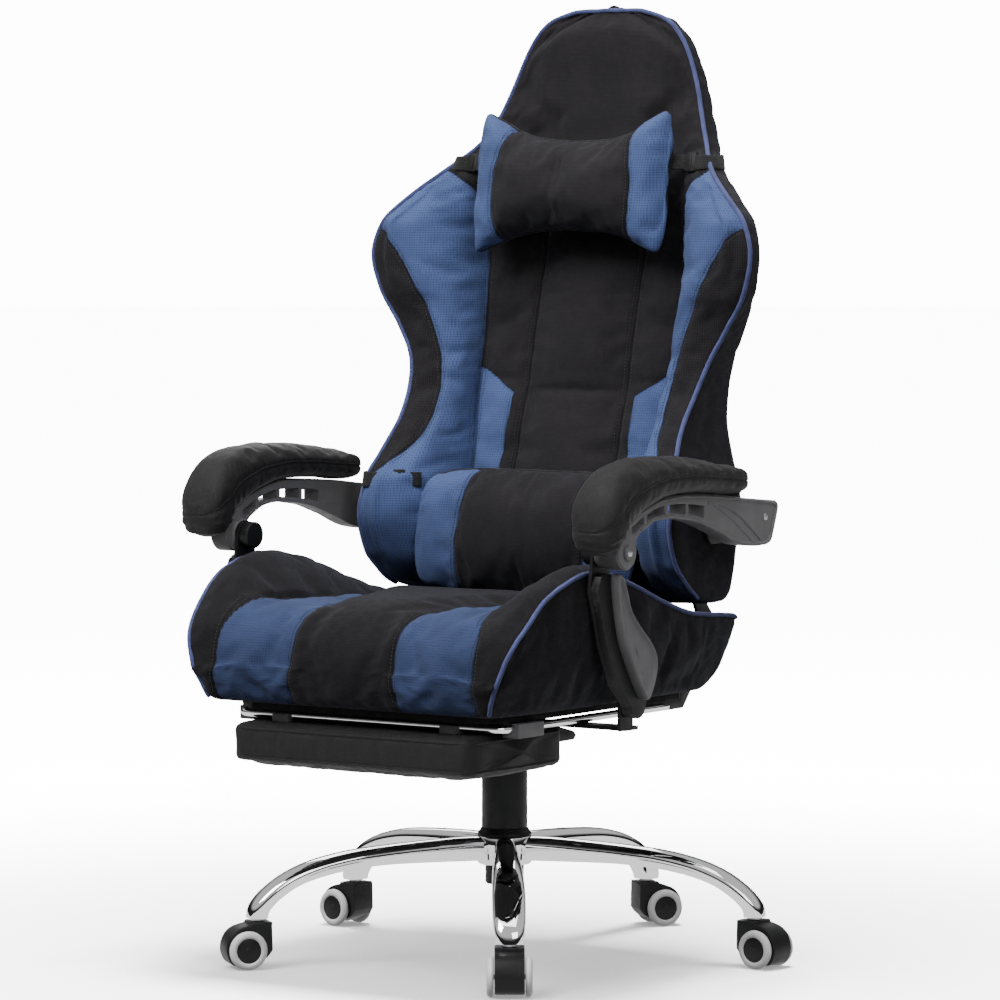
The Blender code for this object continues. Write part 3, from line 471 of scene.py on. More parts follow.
def refine(node, body, mat, slot, bevel=0.0008, name=None, angle=30):
    """A finished copy of a CAD piece: flat faces made whole, edges rounded."""
    src = NODES[node]
    bm = bmesh.new()
    bm.from_mesh(src.data)
    bmesh.ops.remove_doubles(bm, verts=bm.verts[:], dist=0.00002)
    bmesh.ops.dissolve_limit(bm, angle_limit=math.radians(1.0), verts=bm.verts[:], edges=bm.edges[:])
    me = bpy.data.meshes.new(name or node + "_fine")
    bm.to_mesh(me)
    bm.free()
    me.materials.clear()
    me.materials.append(mat)
    ob = bpy.data.objects.new(name or node + "_fine", me)
    COLL.objects.link(ob)
    m = ob.modifiers.new("edges", "BEVEL")
    m.width, m.segments, m.limit_method, m.angle_limit = bevel, 2, "ANGLE", math.radians(angle)
    m.use_clamp_overlap = True
    bake(ob)
    ob.data.set_sharp_from_angle(angle=math.radians(42))
    finish(ob, body, slot, node)
    return ob


def finish(ob, body, slot, *nodes, fill=None):
    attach(ob, body)
    if nodes:
        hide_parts(*nodes)
    return ob


# ==================================================================== cloth
def inflate(ob, hold, cap, pressure=4.0, grow=0.02, stiff=15.0, bend=0.4, frames=20, soft=0.028):
    """Blow a closed cover up from inside while its seams are held (hold = 1),
    and keep the swollen shape, no point moving further than cap."""
    rest = coords(ob)
    hold = np.clip(hold, 0, 1)
    group = ob.vertex_groups.new(name="held")
    for w in (1.0, 0.75, 0.5, 0.25):
        ids = np.nonzero((hold > w - 0.125) & (hold <= w + 0.125))[0]
        if len(ids):
            group.add([int(i) for i in ids], w, "REPLACE")
    m = ob.modifiers.new("cloth", "CLOTH")
    s = m.settings
    s.quality = 5
    s.mass = 0.3
    s.tension_stiffness = s.compression_stiffness = s.shear_stiffness = stiff
    s.bending_stiffness = bend
    s.tension_damping = s.compression_damping = s.shear_damping = 5
    s.air_damping = 4
    s.use_pressure = True
    s.uniform_pressure_force = pressure
    s.vertex_group_mass = "held"
    s.pin_stiffness = 1.0
    s.shrink_min = -grow
    s.effector_weights.gravity = 0
    m.collision_settings.use_collision = False
    m.collision_settings.use_self_collision = False
    m.point_cache.frame_start, m.point_cache.frame_end = 1, frames
    for f in range(1, frames + 1):
        SCENE.frame_set(f)
    deps = bpy.context.evaluated_depsgraph_get()
    ev = ob.evaluated_get(deps)
    co = np.zeros(len(ev.data.vertices) * 3)
    ev.data.vertices.foreach_get("co", co)
    co = co.reshape(-1, 3)
    ob.modifiers.clear()
    SCENE.frame_set(1)
    move = co - rest
    bad = ~np.isfinite(move).all(1)
    move[bad] = 0
    length = np.linalg.norm(move, axis=1)
    print("cloth", ob.name, len(co), "points, moved", round(float(length.mean()) * 1000, 1), "mm on average, most",
          round(float(length.max()) * 1000, 1))
    move *= np.minimum(1.0, cap / np.maximum(length, 1e-9))[:, None]
    set_coords(ob, rest + move)
    ob.vertex_groups.clear()
    return ob


def smooth_verts(ob, times=1, factor=0.5, mask=None):
    """Relax points towards their neighbours' mean."""
    me = ob.data
    e = np.zeros(len(me.edges) * 2, np.int64)
    me.edges.foreach_get("vertices", e)
    e = e.reshape(-1, 2)
    co = coords(ob)
    cnt = np.bincount(e.ravel(), minlength=len(co))[:, None]
    for _ in range(times):
        acc = np.zeros_like(co)
        for k in range(3):
            acc[:, k] = np.bincount(e[:, 0], co[e[:, 1], k], len(co)) + np.bincount(e[:, 1], co[e[:, 0], k], len(co))
        new = co + (acc / np.maximum(cnt, 1) - co) * factor
        co = new if mask is None else co + (new - co) * mask[:, None]
    set_coords(ob, co)
    return ob


# ================================================================= materials
def add(nt, kind, **props):
    n = nt.nodes.new(kind)
    for k, v in props.items():
        setattr(n, k, v)
    return n


def link(nt, value, socket):
    if isinstance(value, bpy.types.NodeSocket):
        nt.links.new(value, socket)
    elif value is not None:
        socket.default_value = value


def mth(nt, op, a, b=None, c=None, clamp=False):
    n = add(nt, "ShaderNodeMath", operation=op, use_clamp=clamp)
    for s, v in zip(n.inputs, (a, b, c)):
        link(nt, v, s)
    return n.outputs[0]


def mixc(nt, fac, a, b, blend="MIX"):
    n = add(nt, "ShaderNodeMix", data_type="RGBA", blend_type=blend)
    link(nt, fac, n.inputs[0])
    for v, s in ((a, n.inputs[6]), (b, n.inputs[7])):
        if isinstance(v, tuple):
            v = (*v[:3], 1.0)
        link(nt, v, s)
    return n.outputs[2]


def mixf(nt, fac, a, b):
    n = add(nt, "ShaderNodeMix", data_type="FLOAT")
    link(nt, fac, n.inputs[0])
    link(nt, a, n.inputs[2])
    link(nt, b, n.inputs[3])
    return n.outputs[0]


def ramp(nt, value, lo, hi, a=0.0, b=1.0, smooth=True):
    n = add(nt, "ShaderNodeMapRange", interpolation_type="SMOOTHSTEP" if smooth else "LINEAR")
    for s, v in zip(n.inputs, (value, lo, hi, a, b)):
        link(nt, v, s)
    return n.outputs[0]


def here(nt):
    return add(nt, "ShaderNodeTexCoord")


def noise(nt, scale, detail=3.0, rough=0.55, co=None, stretch=None):
    n = add(nt, "ShaderNodeTexNoise")
    n.inputs["Scale"].default_value = scale
    n.inputs["Detail"].default_value = detail
    n.inputs["Roughness"].default_value = rough
    src = co if co is not None else here(nt).outputs["Object"]
    if stretch:
        mp = add(nt, "ShaderNodeMapping")
        mp.inputs["Scale"].default_value = stretch
        link(nt, src, mp.inputs["Vector"])
        src = mp.outputs[0]
    link(nt, src, n.inputs["Vector"])
    return n.outputs["Fac"]


def lattice(nt, pitch):
    """A woven lattice that follows any surface: cosines of the three
    coordinates, each fading where the surface faces along it."""
    tc = here(nt)
    p = add(nt, "ShaderNodeSeparateXYZ")
    link(nt, tc.outputs["Object"], p.inputs[0])
    q = add(nt, "ShaderNodeSeparateXYZ")
    link(nt, tc.outputs["Normal"], q.inputs[0])
    total = None
    for i in range(3):
        c = mth(nt, "COSINE", mth(nt, "MULTIPLY", p.outputs[i], 2 * math.pi / pitch))
        w = mth(nt, "SUBTRACT", 1.0, mth(nt, "MULTIPLY", q.outputs[i], q.outputs[i]))
        cw = mth(nt, "MULTIPLY", c, w)
        total = cw if total is None else mth(nt, "ADD", total, cw)
    return mth(nt, "MULTIPLY", total, 0.5)


def bump(nt, height, dist, strength=1.0, normal=None):
    n = add(nt, "ShaderNodeBump")
    n.inputs["Strength"].default_value = strength
    n.inputs["Distance"].default_value = dist
    link(nt, height, n.inputs["Height"])
    if normal is not None:
        link(nt, normal, n.inputs["Normal"])
    return n.outputs[0]


def material(name):
    m = bpy.data.materials.new(name)
    m.use_nodes = True
    nt = m.node_tree
    b = nt.nodes["Principled BSDF"]
    return m, nt, b


BLACK = (0.0190, 0.0172, 0.0190)
BLUE = (0.0720, 0.1080, 0.2480)


def upholstery(name, panels=True, blue=BLUE, black=BLACK):
    """Black knit with blue air-mesh panels and black mesh inserts; the panel
    borders come from signed distances kept on the mesh."""
    m, nt, b = material(name)
    b.inputs["Sheen Weight"].default_value = 0.08
    b.inputs["Sheen Roughness"].default_value = 0.45
    b.inputs["Sheen Tint"].default_value = (0.75, 0.80, 1.0, 1.0)
    b.inputs["Specular IOR Level"].default_value = 0.12
    knit = lattice(nt, 0.0017)
    mesh = lattice(nt, 0.0033)
    fuzz = noise(nt, 900, 2.0, 0.6)
    big = noise(nt, 14, 3.0, 0.5)
    mid = noise(nt, 95, 3.0, 0.6)
    zz = add(nt, "ShaderNodeSeparateXYZ")
    link(nt, here(nt).outputs["Object"], zz.inputs[0])
    # painted shade: the colour is darkened towards the bottom, to 0.48 times below z 0.40 and back to full at z 0.66,
    # standing in for the shade on the lower fabric
    low = ramp(nt, zz.outputs[2], 0.40, 0.66, 0.48, 1.0)
    tone_and_shade = mth(nt, "ADD", ramp(nt, big, 0.3, 0.7, 0.88, 1.12), mth(nt, "MULTIPLY", mth(nt, "SUBTRACT", mid, 0.5), 0.16))
    # random tone, then times the painted shade from height
    tone_and_shade = mth(nt, "MULTIPLY", tone_and_shade, low)
    knit_tone_and_shade = mth(nt, "MULTIPLY", tone_and_shade, ramp(nt, knit, -0.8, 0.6, 0.78, 1.10))
    dark = mixc(nt, 1.0, black, (1, 1, 1), "MULTIPLY")
    vk = add(nt, "ShaderNodeCombineColor")
    for i in range(3):
        link(nt, knit_tone_and_shade, vk.inputs[i])
    dark = mixc(nt, 1.0, dark, vk.outputs[0], "MULTIPLY")
    hole = ramp(nt, mesh, 0.22, 0.62)
    bl = mixc(nt, mth(nt, "MULTIPLY", hole, 0.62), blue, tuple(c * 0.30 for c in blue))
    vb = add(nt, "ShaderNodeCombineColor")
    for i in range(3):
        link(nt, tone_and_shade, vb.inputs[i])
    bl = mixc(nt, 1.0, bl, vb.outputs[0], "MULTIPLY")
    hgt_k = mth(nt, "ADD", mth(nt, "MULTIPLY", knit, 0.5), mth(nt, "MULTIPLY", fuzz, 0.5))
    hgt_m = mth(nt, "SUBTRACT", mth(nt, "MULTIPLY", fuzz, 0.3), hole)
    if panels:
        a = add(nt, "ShaderNodeAttribute", attribute_name="blue_sd")
        fb = ramp(nt, a.outputs["Fac"], -0.0005, 0.0005)
        a2 = add(nt, "ShaderNodeAttribute", attribute_name="insert_sd")
        fi = ramp(nt, a2.outputs["Fac"], -0.0005, 0.0005)
        insert = mixc(nt, mth(nt, "MULTIPLY", hole, 0.75), tuple(c * 0.95 for c in black), tuple(c * 0.2 for c in black))
        col = mixc(nt, fb, dark, bl)
        col = mixc(nt, fi, col, insert)
        hgt = mixf(nt, mth(nt, "MAXIMUM", fb, fi), hgt_k, hgt_m)
        # painted shade: the colour is darkened to 0.45 within about 2 mm of the seams, for the shade in the sewn
        # grooves
        s = add(nt, "ShaderNodeAttribute", attribute_name="seam_d")
        line = ramp(nt, s.outputs["Fac"], 0.0008, 0.0024, 0.45, 1.0)
        vs = add(nt, "ShaderNodeCombineColor")
        for i in range(3):
            link(nt, line, vs.inputs[i])
        col = mixc(nt, 1.0, col, vs.outputs[0], "MULTIPLY")
    else:
        col, hgt = dark, hgt_k
    link(nt, col, b.inputs["Base Color"])
    link(nt, ramp(nt, mid, 0.3, 0.7, 0.78, 0.92), b.inputs["Roughness"])
    n = bump(nt, mid, 0.0012, 0.35)
    link(nt, bump(nt, hgt, 0.00045, 0.9, n), b.inputs["Normal"])
    return m


def plain(name, base, rough, metal=0.0, grain=(1200, 0.0001), vary=0.10, wear=None, spec=0.5, coat=0.0, rvar=0.06, dirt=None):
    """Moulded, painted or plated surfaces: fine grain, uneven gloss and
    lighter rubbed edges."""
    m, nt, b = material(name)
    b.inputs["Metallic"].default_value = metal
    b.inputs["Specular IOR Level"].default_value = spec
    if coat:
        b.inputs["Coat Weight"].default_value = coat
        b.inputs["Coat Roughness"].default_value = 0.12
    big = noise(nt, 22, 4.0, 0.6)
    v = add(nt, "ShaderNodeCombineColor")
    t = ramp(nt, big, 0.3, 0.7, 1 - vary, 1 + vary)
    for i in range(3):
        link(nt, t, v.inputs[i])
    col = mixc(nt, 1.0, base, v.outputs[0], "MULTIPLY")
    if wear:
        g = add(nt, "ShaderNodeNewGeometry")
        edge = mth(nt, "MULTIPLY", ramp(nt, g.outputs["Pointiness"], 0.52, 0.60), ramp(nt, noise(nt, 160, 4.0, 0.7), 0.45, 0.62))
        col = mixc(nt, mth(nt, "MULTIPLY", edge, 0.55), col, wear)
    link(nt, col, b.inputs["Base Color"])
    link(nt, ramp(nt, noise(nt, 60, 4.0, 0.6), 0.3, 0.7, max(0.02, rough - rvar), rough + rvar), b.inputs["Roughness"])
    if grain:
        link(nt, bump(nt, noise(nt, grain[0], 3.0, 0.6), grain[1], 0.8), b.inputs["Normal"])
    return m


def leather(name, base, rough=0.40):
    """Fine pebbled synthetic leather with soft creases."""
    m, nt, b = material(name)
    b.inputs["Specular IOR Level"].default_value = 0.22
    b.inputs["Sheen Weight"].default_value = 0.06
    tc = here(nt)
    vor = add(nt, "ShaderNodeTexVoronoi", feature="DISTANCE_TO_EDGE")
    vor.inputs["Scale"].default_value = 620
    link(nt, tc.outputs["Object"], vor.inputs["Vector"])
    pebble = ramp(nt, vor.outputs["Distance"], 0.0, 0.28)
    crease = noise(nt, 38, 5.0, 0.65)
    fine = noise(nt, 1500, 2.0, 0.6)
    v = add(nt, "ShaderNodeCombineColor")
    t = mth(nt, "MULTIPLY", ramp(nt, crease, 0.3, 0.7, 0.85, 1.15), ramp(nt, pebble, 0, 1, 0.72, 1.05))
    for i in range(3):
        link(nt, t, v.inputs[i])
    link(nt, mixc(nt, 1.0, base, v.outputs[0], "MULTIPLY"), b.inputs["Base Color"])
    link(nt, ramp(nt, crease, 0.25, 0.75, rough - 0.05, rough + 0.10), b.inputs["Roughness"])
    n = bump(nt, crease, 0.0009, 0.5)
    h = mth(nt, "ADD", pebble, mth(nt, "MULTIPLY", fine, 0.3))
    link(nt, bump(nt, h, 0.00018, 0.8, n), b.inputs["Normal"])
    return m


def webbing(name, base, pitch=0.0022):
    m, nt, b = material(name)
    b.inputs["Sheen Weight"].default_value = 0.15
    b.inputs["Specular IOR Level"].default_value = 0.2
    b.inputs["Roughness"].default_value = 0.85
    w = lattice(nt, pitch)
    v = add(nt, "ShaderNodeCombineColor")
    t = mth(nt, "MULTIPLY", ramp(nt, w, -0.6, 0.6, 0.6, 1.2), ramp(nt, noise(nt, 60), 0.3, 0.7, 0.85, 1.15))
    for i in range(3):
        link(nt, t, v.inputs[i])
    link(nt, mixc(nt, 1.0, base, v.outputs[0], "MULTIPLY"), b.inputs["Base Color"])
    link(nt, bump(nt, w, 0.0004, 0.9), b.inputs["Normal"])
    return m


M_UPH = upholstery("upholstery")
M_PIPE = webbing("piping_fabric", (0.085, 0.102, 0.270), 0.0012)
M_BPIPE = webbing("black_piping", (0.016, 0.016, 0.018), 0.0012)
M_THREAD = plain("thread", (0.020, 0.020, 0.022), 0.6, grain=(2600, 0.0001))
M_BTHREAD = plain("blue_thread", (0.05, 0.10, 0.30), 0.6, grain=(2600, 0.0001))
M_WEB = webbing("webbing_black", (0.014, 0.014, 0.015))
M_LEATHER = leather("leather_black", (0.0125, 0.0118, 0.0120), 0.58)
M_CHROME = plain("chrome_plate", (0.86, 0.86, 0.87), 0.045, 1.0, grain=(7, 0.0012), vary=0.02, rvar=0.02)
M_STEEL = plain("black_powder_coat", (0.0090, 0.0090, 0.0095), 0.50, 0.0, grain=(700, 0.00012), wear=(0.05, 0.05, 0.05), spec=0.22)
M_ZINC = plain("zinc_plate", (0.42, 0.42, 0.44), 0.34, 1.0, grain=(900, 0.00006), vary=0.08)
M_BLACKP = plain("black_moulded", (0.0080, 0.0080, 0.0085), 0.46, grain=(1100, 0.00014), wear=(0.03, 0.03, 0.03), spec=0.22)
M_GREYP = plain("grey_moulded", (0.185, 0.180, 0.188), 0.50, grain=(1000, 0.00014), wear=(0.20, 0.20, 0.21), vary=0.06, spec=0.25)
M_TYRE = plain("white_tread", (0.80, 0.80, 0.80), 0.42, grain=(900, 0.00008), vary=0.03)
M_HUB = plain("hub_black", (0.0080, 0.0080, 0.0085), 0.38, grain=(900, 0.00006), spec=0.22)
M_BOARD = plain("board_black", (0.0085, 0.0080, 0.0080), 0.75, grain=(300, 0.0003), spec=0.15)


# ============================================================ panel outlines
# (|x|, z) on the front of the back, in metres.
EDGE_ROWS = (
    (0.4600, 0.2300, 0.1280, 0.1640, 0.1300, 0.1900), (0.4700, 0.2400, 0.0900, 0.1700, 0.1200, 0.1960),
    (0.4900, 0.2430, 0.0580, 0.1720, 0.1150, 0.1990), (0.5200, 0.2450, 0.0270, 0.1760, 0.1160, 0.2030),
    (0.5650, 0.2450, 0.0140, 0.1860, 0.1200, 0.2090), (0.6090, 0.2430, 0.0250, 0.1900, 0.1290, 0.2150),
    (0.6500, 0.2330, 0.0490, 0.1890, 0.1400, 0.2220), (0.6970, 0.2250, 0.0800, 0.1890, 0.1520, 0.2300),
    (0.7330, 0.2280, 0.1030, 0.1890, 0.1620, 0.2370), (0.7720, 0.2370, 0.1190, 0.1870, 0.1720, 0.2440),
    (0.8160, 0.2610, 0.1260, 0.1760, 0.1830, 0.2510), (0.8610, 0.2870, 0.1230, 0.1580, 0.1950, 0.2580),
    (0.9100, 0.2990, 0.1200, 0.1500, 0.2080, 0.2640), (0.9500, 0.2870, 0.1240, 0.1580, 0.2170, 0.2690),
    (0.9720, 0.2660, 0.1330, 0.1700, 0.2210, 0.2720), (0.9990, 0.2350, 0.1480, 0.1900, 0.2260, 0.2760),
    (1.0190, 0.2110, 0.1650, 0.2060, 0.2300, 0.2790), (1.0530, 0.1810, 0.2000, 0.2380, 0.2350, 0.2830),
    (1.0890, 0.1610, 0.2200, 0.2560, 0.2390, 0.2860), (1.1380, 0.1420, 0.2350, 0.2680, 0.2430, 0.2880),
    (1.1850, 0.1210, 0.2410, 0.2700, 0.2450, 0.2870), (1.2160, 0.0940, 0.2430, 0.2680, 0.2460, 0.2840),
    (1.2300, 0.0550, 0.2460, 0.2640, 0.2470, 0.2780),
)
# z, seam x, seam y, crest x, crest y: the flat middle's border and the wing's
# foremost line.
WELL_ROWS = (
    (0.4600, 0.135, 0.1400, 0.200, 0.1320), (0.4700, 0.136, 0.1260, 0.203, 0.1000), (0.4900, 0.137, 0.1190, 0.205, 0.0680),
    (0.5200, 0.138, 0.1190, 0.207, 0.0360), (0.5650, 0.140, 0.1240, 0.210, 0.0170), (0.6090, 0.142, 0.1310, 0.207, 0.0250),
    (0.6280, 0.143, 0.1340, 0.203, 0.0380), (0.6640, 0.145, 0.1430, 0.193, 0.0680), (0.7060, 0.149, 0.1550, 0.186, 0.0960),
    (0.7460, 0.1515, 0.1660, 0.188, 0.1130), (0.7860, 0.153, 0.1740, 0.194, 0.1215), (0.8180, 0.1535, 0.1795, 0.205, 0.1225),
    (0.8680, 0.154, 0.1835, 0.232, 0.1160), (0.9050, 0.1545, 0.1870, 0.252, 0.1130), (0.9400, 0.156, 0.1850, 0.255, 0.1150),
    (0.9850, 0.160, 0.1790, 0.226, 0.1400), (1.0190, 0.150, 0.1960, 0.190, 0.1680), (1.0530, 0.118, 0.2220, 0.155, 0.2050),
    (1.0890, 0.100, 0.2330, 0.135, 0.2250), (1.1380, 0.085, 0.2410, 0.117, 0.2370), (1.1850, 0.070, 0.2440, 0.098, 0.2420),
    (1.2160, 0.052, 0.2455, 0.075, 0.2440), (1.2300, 0.030, 0.2468, 0.044, 0.2464),
)
CHANNEL_X = 0.0790
WING_IN = catmull([(0.142, 0.440), (0.1430, 0.628), (0.1500, 0.706), (0.1530, 0.759), (0.1540, 0.838), (0.1540, 0.905),
                   (0.1560, 0.950), (0.1620, 0.985), (0.1760, 1.003), (0.2020, 1.0190)], 8)
INSERT_IN = catmull([(0.2440, 0.6050), (0.2350, 0.6180), (0.2150, 0.6340), (0.2000, 0.6490), (0.1880, 0.6680), (0.1830, 0.6900),
                     (0.1815, 0.7100), (0.1830, 0.7400), (0.1880, 0.7730), (0.1990, 0.8080), (0.2130, 0.8420),
                     (0.2330, 0.8800), (0.2560, 0.9150), (0.2760, 0.9380), (0.2920, 0.9460)], 6)
LOWER_PANEL = np.array([(0.1530, 0.7590), (0.0960, 0.7260), (0.0985, 0.6280), (0.1000, 0.5000), (0.1420, 0.5000), (0.1430, 0.6280),
                        (0.1500, 0.7060)])


def edge_at(z):
    return rows_at(EDGE_ROWS, z)


def piping_line(side=1, z0=0.470, out=0.0):
    """The back's edge, from the hip up to the middle of the head."""
    zs = np.linspace(z0, 1.2300, 140)
    e = edge_at(zs)
    pts = np.stack([side * (e[:, 0] + out), e[:, 1] - out * 0.3, zs], 1)
    return pts


# ================================================================ upholstery
def section(z):
    """Front half of the back's section at a height, from the middle out."""
    w, yp, ys, yc, yr = edge_at(z)
    xs, ysm, xc, ycr = rows_at(WELL_ROWS, z)
    ch = min(CHANNEL_X, xs * 0.55)
    ych = yc + (ysm - yc) * (ch / xs) ** 3 * 0.5
    a = np.linspace([0, yc], [ch, ych], 11)[:-1]
    b = np.linspace([ch, ych], [xs, ysm], 10)[:-1]
    dx, dy = xc - xs, ycr - ysm
    c = catmull([(xs - 0.004, ysm), (xs, ysm), (xs + 0.30 * dx, ysm + 0.55 * dy), (xs + 0.66 * dx, ysm + 0.90 * dy), (xc, ycr),
                 (w - 0.004, yp - 0.001)], 8)
    c = resample(c[8:33], n=11)[:-1]
    d = catmull([(xs, ysm), (xc, ycr), (xc + (w - xc) * 0.55, ycr + (yp - ycr) * 0.35 - 0.002), (w, yp), (w, yp + 0.02)], 8)
    d = resample(d[8:25], n=8)[:-1]
    return np.vstack([a, b, c, d]), (w, yp, ys, yr)


def back_ring(z):
    front, (w, yp, ys, yr) = section(z)
    side = [(w, yp)] + [(w + 0.0006 * math.sin(k / 7 * math.pi), yp + (ys - 0.006 - yp) * k / 7) for k in range(1, 8)]
    side.append((w - 0.005, ys))
    xs = (w - 0.014) * np.linspace(1, 0, 20)
    rear = [(x, yr + (ys - yr) * (x / w) ** 2) for x in xs]
    half = np.vstack([front, side, rear])
    kind = np.concatenate([np.full(len(front), 1.0), [0.0], np.full(len(side) - 1, -1.0), np.full(len(rear), -2.0)])
    other = half[1:-1][::-1] * [-1, 1]
    ring = np.vstack([half, other])
    kinds = np.concatenate([kind, kind[1:-1][::-1]])
    return np.column_stack([ring, np.full(len(ring), z)]), kinds


def make_back():
    zs = resample(np.array([(r[0], r[1] * 0.6) for r in EDGE_ROWS]), 0.0068)[:, 0]
    zs = np.unique(np.round(np.concatenate([zs, [0.46, 1.2300]]), 5))
    rings, kinds = zip(*[back_ring(z) for z in zs])
    dome = 3
    ob = rings_obj("back_upholstery", rings, M_UPH, dome=True, dome_h=(0.004, 0.0035))
    n = len(rings[0])
    kind = np.concatenate([np.tile(kinds[0], dome), np.concatenate(kinds), np.tile(kinds[-1], dome), [kinds[0][0], kinds[-1][0]]])
    kind[:dome * n] = -1.0
    kind[(dome + len(zs)) * n:(2 * dome + len(zs)) * n] = np.minimum(np.tile(kinds[-1], dome), 0.5)
    attr(ob, "zone", kind)
    P = coords(ob)
    ax = np.abs(P[:, 0])
    q = np.column_stack([ax, P[:, 2]])
    front = kind > 0
    hold = np.zeros(len(P))

    def near(d, r):
        return np.exp(-(d / r) ** 2)

    pipe = dist_line(np.column_stack([ax, P[:, 1], P[:, 2]]), piping_line())
    hold = np.maximum(hold, near(pipe, 0.008))
    rear_edge = np.stack([edge_at(zs)[:, 0] - 0.005, edge_at(zs)[:, 2], zs], 1)
    hold = np.maximum(hold, near(dist_line(np.column_stack([ax, P[:, 1], P[:, 2]]), rear_edge), 0.009))
    chan = np.array([(CHANNEL_X, 0.44), (CHANNEL_X, 0.93), (0.0760, 1.02)])
    for line, r in ((chan, 0.0055), (WING_IN, 0.0065)):
        hold = np.maximum(hold, front * near(dist_line(q, line), r))
    hold = np.maximum(hold, front * 0.6 * near(dist_line(q, INSERT_IN), 0.006))
    hold = np.maximum(hold, (P[:, 2] < 0.475) * 1.0)
    hold[kind == -1.0] = np.maximum(hold[kind == -1.0], 0.5)
    inflate(ob, hold, cap=0.013, pressure=4.0, grow=0.03)
    subdivide(ob)
    P, N = coords(ob), vnormals(ob)
    zone = get_attr(ob, "zone")
    ax = np.abs(P[:, 0])
    q = np.column_stack([ax, P[:, 2]])
    front = smooth01((zone + 0.2) / 0.6)
    d_ch = dist_line(q, chan)
    d_ch[P[:, 2] > 1.03] = 1
    d_w = dist_line(q, WING_IN)
    d_i = dist_line(q, INSERT_IN)
    wing = np.vstack([WING_IN, [(0.34, 1.019), (0.34, 0.44)]])
    ins = np.vstack([INSERT_IN, [(0.34, 0.946), (0.34, 0.605)]])
    sw, si, sl = sd_poly(q, wing), sd_poly(q, ins), sd_poly(q, LOWER_PANEL)
    fz = zone * 0.02 + 0.0
    attr(ob, "blue_sd", np.minimum(np.maximum(sw, sl), fz))
    attr(ob, "insert_sd", np.minimum(si, fz))
    d_l = dist_line(q, LOWER_PANEL[:4])
    seam = np.minimum.reduce([d_ch, d_w, d_i, d_l])
    rear_panel = np.abs(np.minimum(0.0, 0) + 0)
    rp = np.array([(0.0, 0.505), (0.120, 0.505), (0.185, 0.520), (0.196, 0.560), (0.196, 0.700), (0.200, 0.800), (0.205, 0.900),
                   (0.192, 0.965), (0.155, 1.020), (0.120, 1.090), (0.095, 1.150), (0.055, 1.175), (0.0, 1.180)])
    rp = catmull(rp, 6)
    d_r = dist_line(q, rp)
    rear = smooth01((-zone - 1.2) / 0.6)
    seam_all = np.where(zone > 0.0, seam, np.where(zone < -1.4, d_r, 1.0))
    attr(ob, "seam_d", np.minimum(seam_all, 1.0))
    groove = front * (0.0042 * np.exp(-(d_ch / 0.0042) ** 2) + 0.0034 * np.exp(-(d_w / 0.0036) ** 2)
                      + 0.0014 * np.exp(-(d_i / 0.0026) ** 2) + 0.0014 * np.exp(-(d_l / 0.0026) ** 2))
    groove += rear * 0.0030 * np.exp(-(d_r / 0.0036) ** 2)
    near_seam = np.exp(-(np.minimum(seam_all, 1) / 0.022) ** 2)
    ripple = waves(P * [1, 1, 0.5], 0.034, 3) * 0.0007 * near_seam + waves(P, 0.16, 5) * 0.0013
    set_coords(ob, P + N * (ripple - groove)[:, None])
    return finish(ob, "back", "upholstery_fabric", "back_cushion", "back_panel", fill=0.75)


BACK = make_back()


def surface(ob):
    return BVHTree.FromObject(ob, bpy.context.evaluated_depsgraph_get())


BACK_TREE = surface(BACK)


def onto(tree, pts, direction, lift=0.0, fallback=None):
    """Points dropped along a direction on a surface, and their normals."""
    out, nor = [], []
    for p in pts:
        hit = tree.ray_cast(Vector(p), Vector(direction))
        if hit[0] is None:
            near = tree.find_nearest(Vector(p))
            hit = near
        nrm = hit[1].normalized()
        out.append(np.array(hit[0] + nrm * lift))
        nor.append(np.array(nrm))
    return np.array(out), np.array(nor)


def stitches(name, path, normals, pitch=0.0046, length=0.0030, r=0.00042, mat=M_THREAD):
    """A row of thread stitches lying on a surface."""
    s = np.concatenate([[0], np.cumsum(np.linalg.norm(np.diff(path, axis=0), axis=1))])
    verts, faces = [], []
    t = pitch * 0.5
    while t + length < s[-1]:
        ends = [np.array([np.interp(t + length * k, s, path[:, c]) for c in range(3)]) for k in (0, 0.5, 1)]
        nn = np.array([np.interp(t + length * 0.5, s, normals[:, c]) for c in range(3)])
        nn /= np.linalg.norm(nn) + 1e-12
        d = ends[2] - ends[0]
        d /= np.linalg.norm(d) + 1e-12
        side = np.cross(d, nn)
        base = len(verts)
        for c, lift, w in ((ends[0], -0.0002, 0.55), (ends[1], 0.00025, 1.0), (ends[2], -0.0002, 0.55)):
            for k in range(5):
                a = 2 * math.pi * k / 5
                verts.append(c + nn * (lift + math.sin(a) * r * w) + side * (math.cos(a) * r * w * 1.25))
        for row in range(2):
            for k in range(5):
                j = (k + 1) % 5
                faces.append((base + row * 5 + k, base + row * 5 + j, base + (row + 1) * 5 + j, base + (row + 1) * 5 + k))
        faces.append(tuple(base + k for k in range(4, -1, -1)))
        faces.append(tuple(base + 10 + k for k in range(5)))
        t += pitch
    return mesh_obj(name, verts, faces, mat)


def front_line(xz, offset=0.0, side=1):
    """A seam drawn in (|x|, z), laid on the front of the back."""
    line = resample(xz, 0.004)
    if offset:
        t = np.gradient(line, axis=0)
        t /= np.linalg.norm(t, axis=1)[:, None]
        line = line + np.column_stack([-t[:, 1], t[:, 0]]) * offset
    pts = [(side * x, -0.30, z) for x, z in line]
    return onto(BACK_TREE, pts, (0, 1, 0), 0.0002)


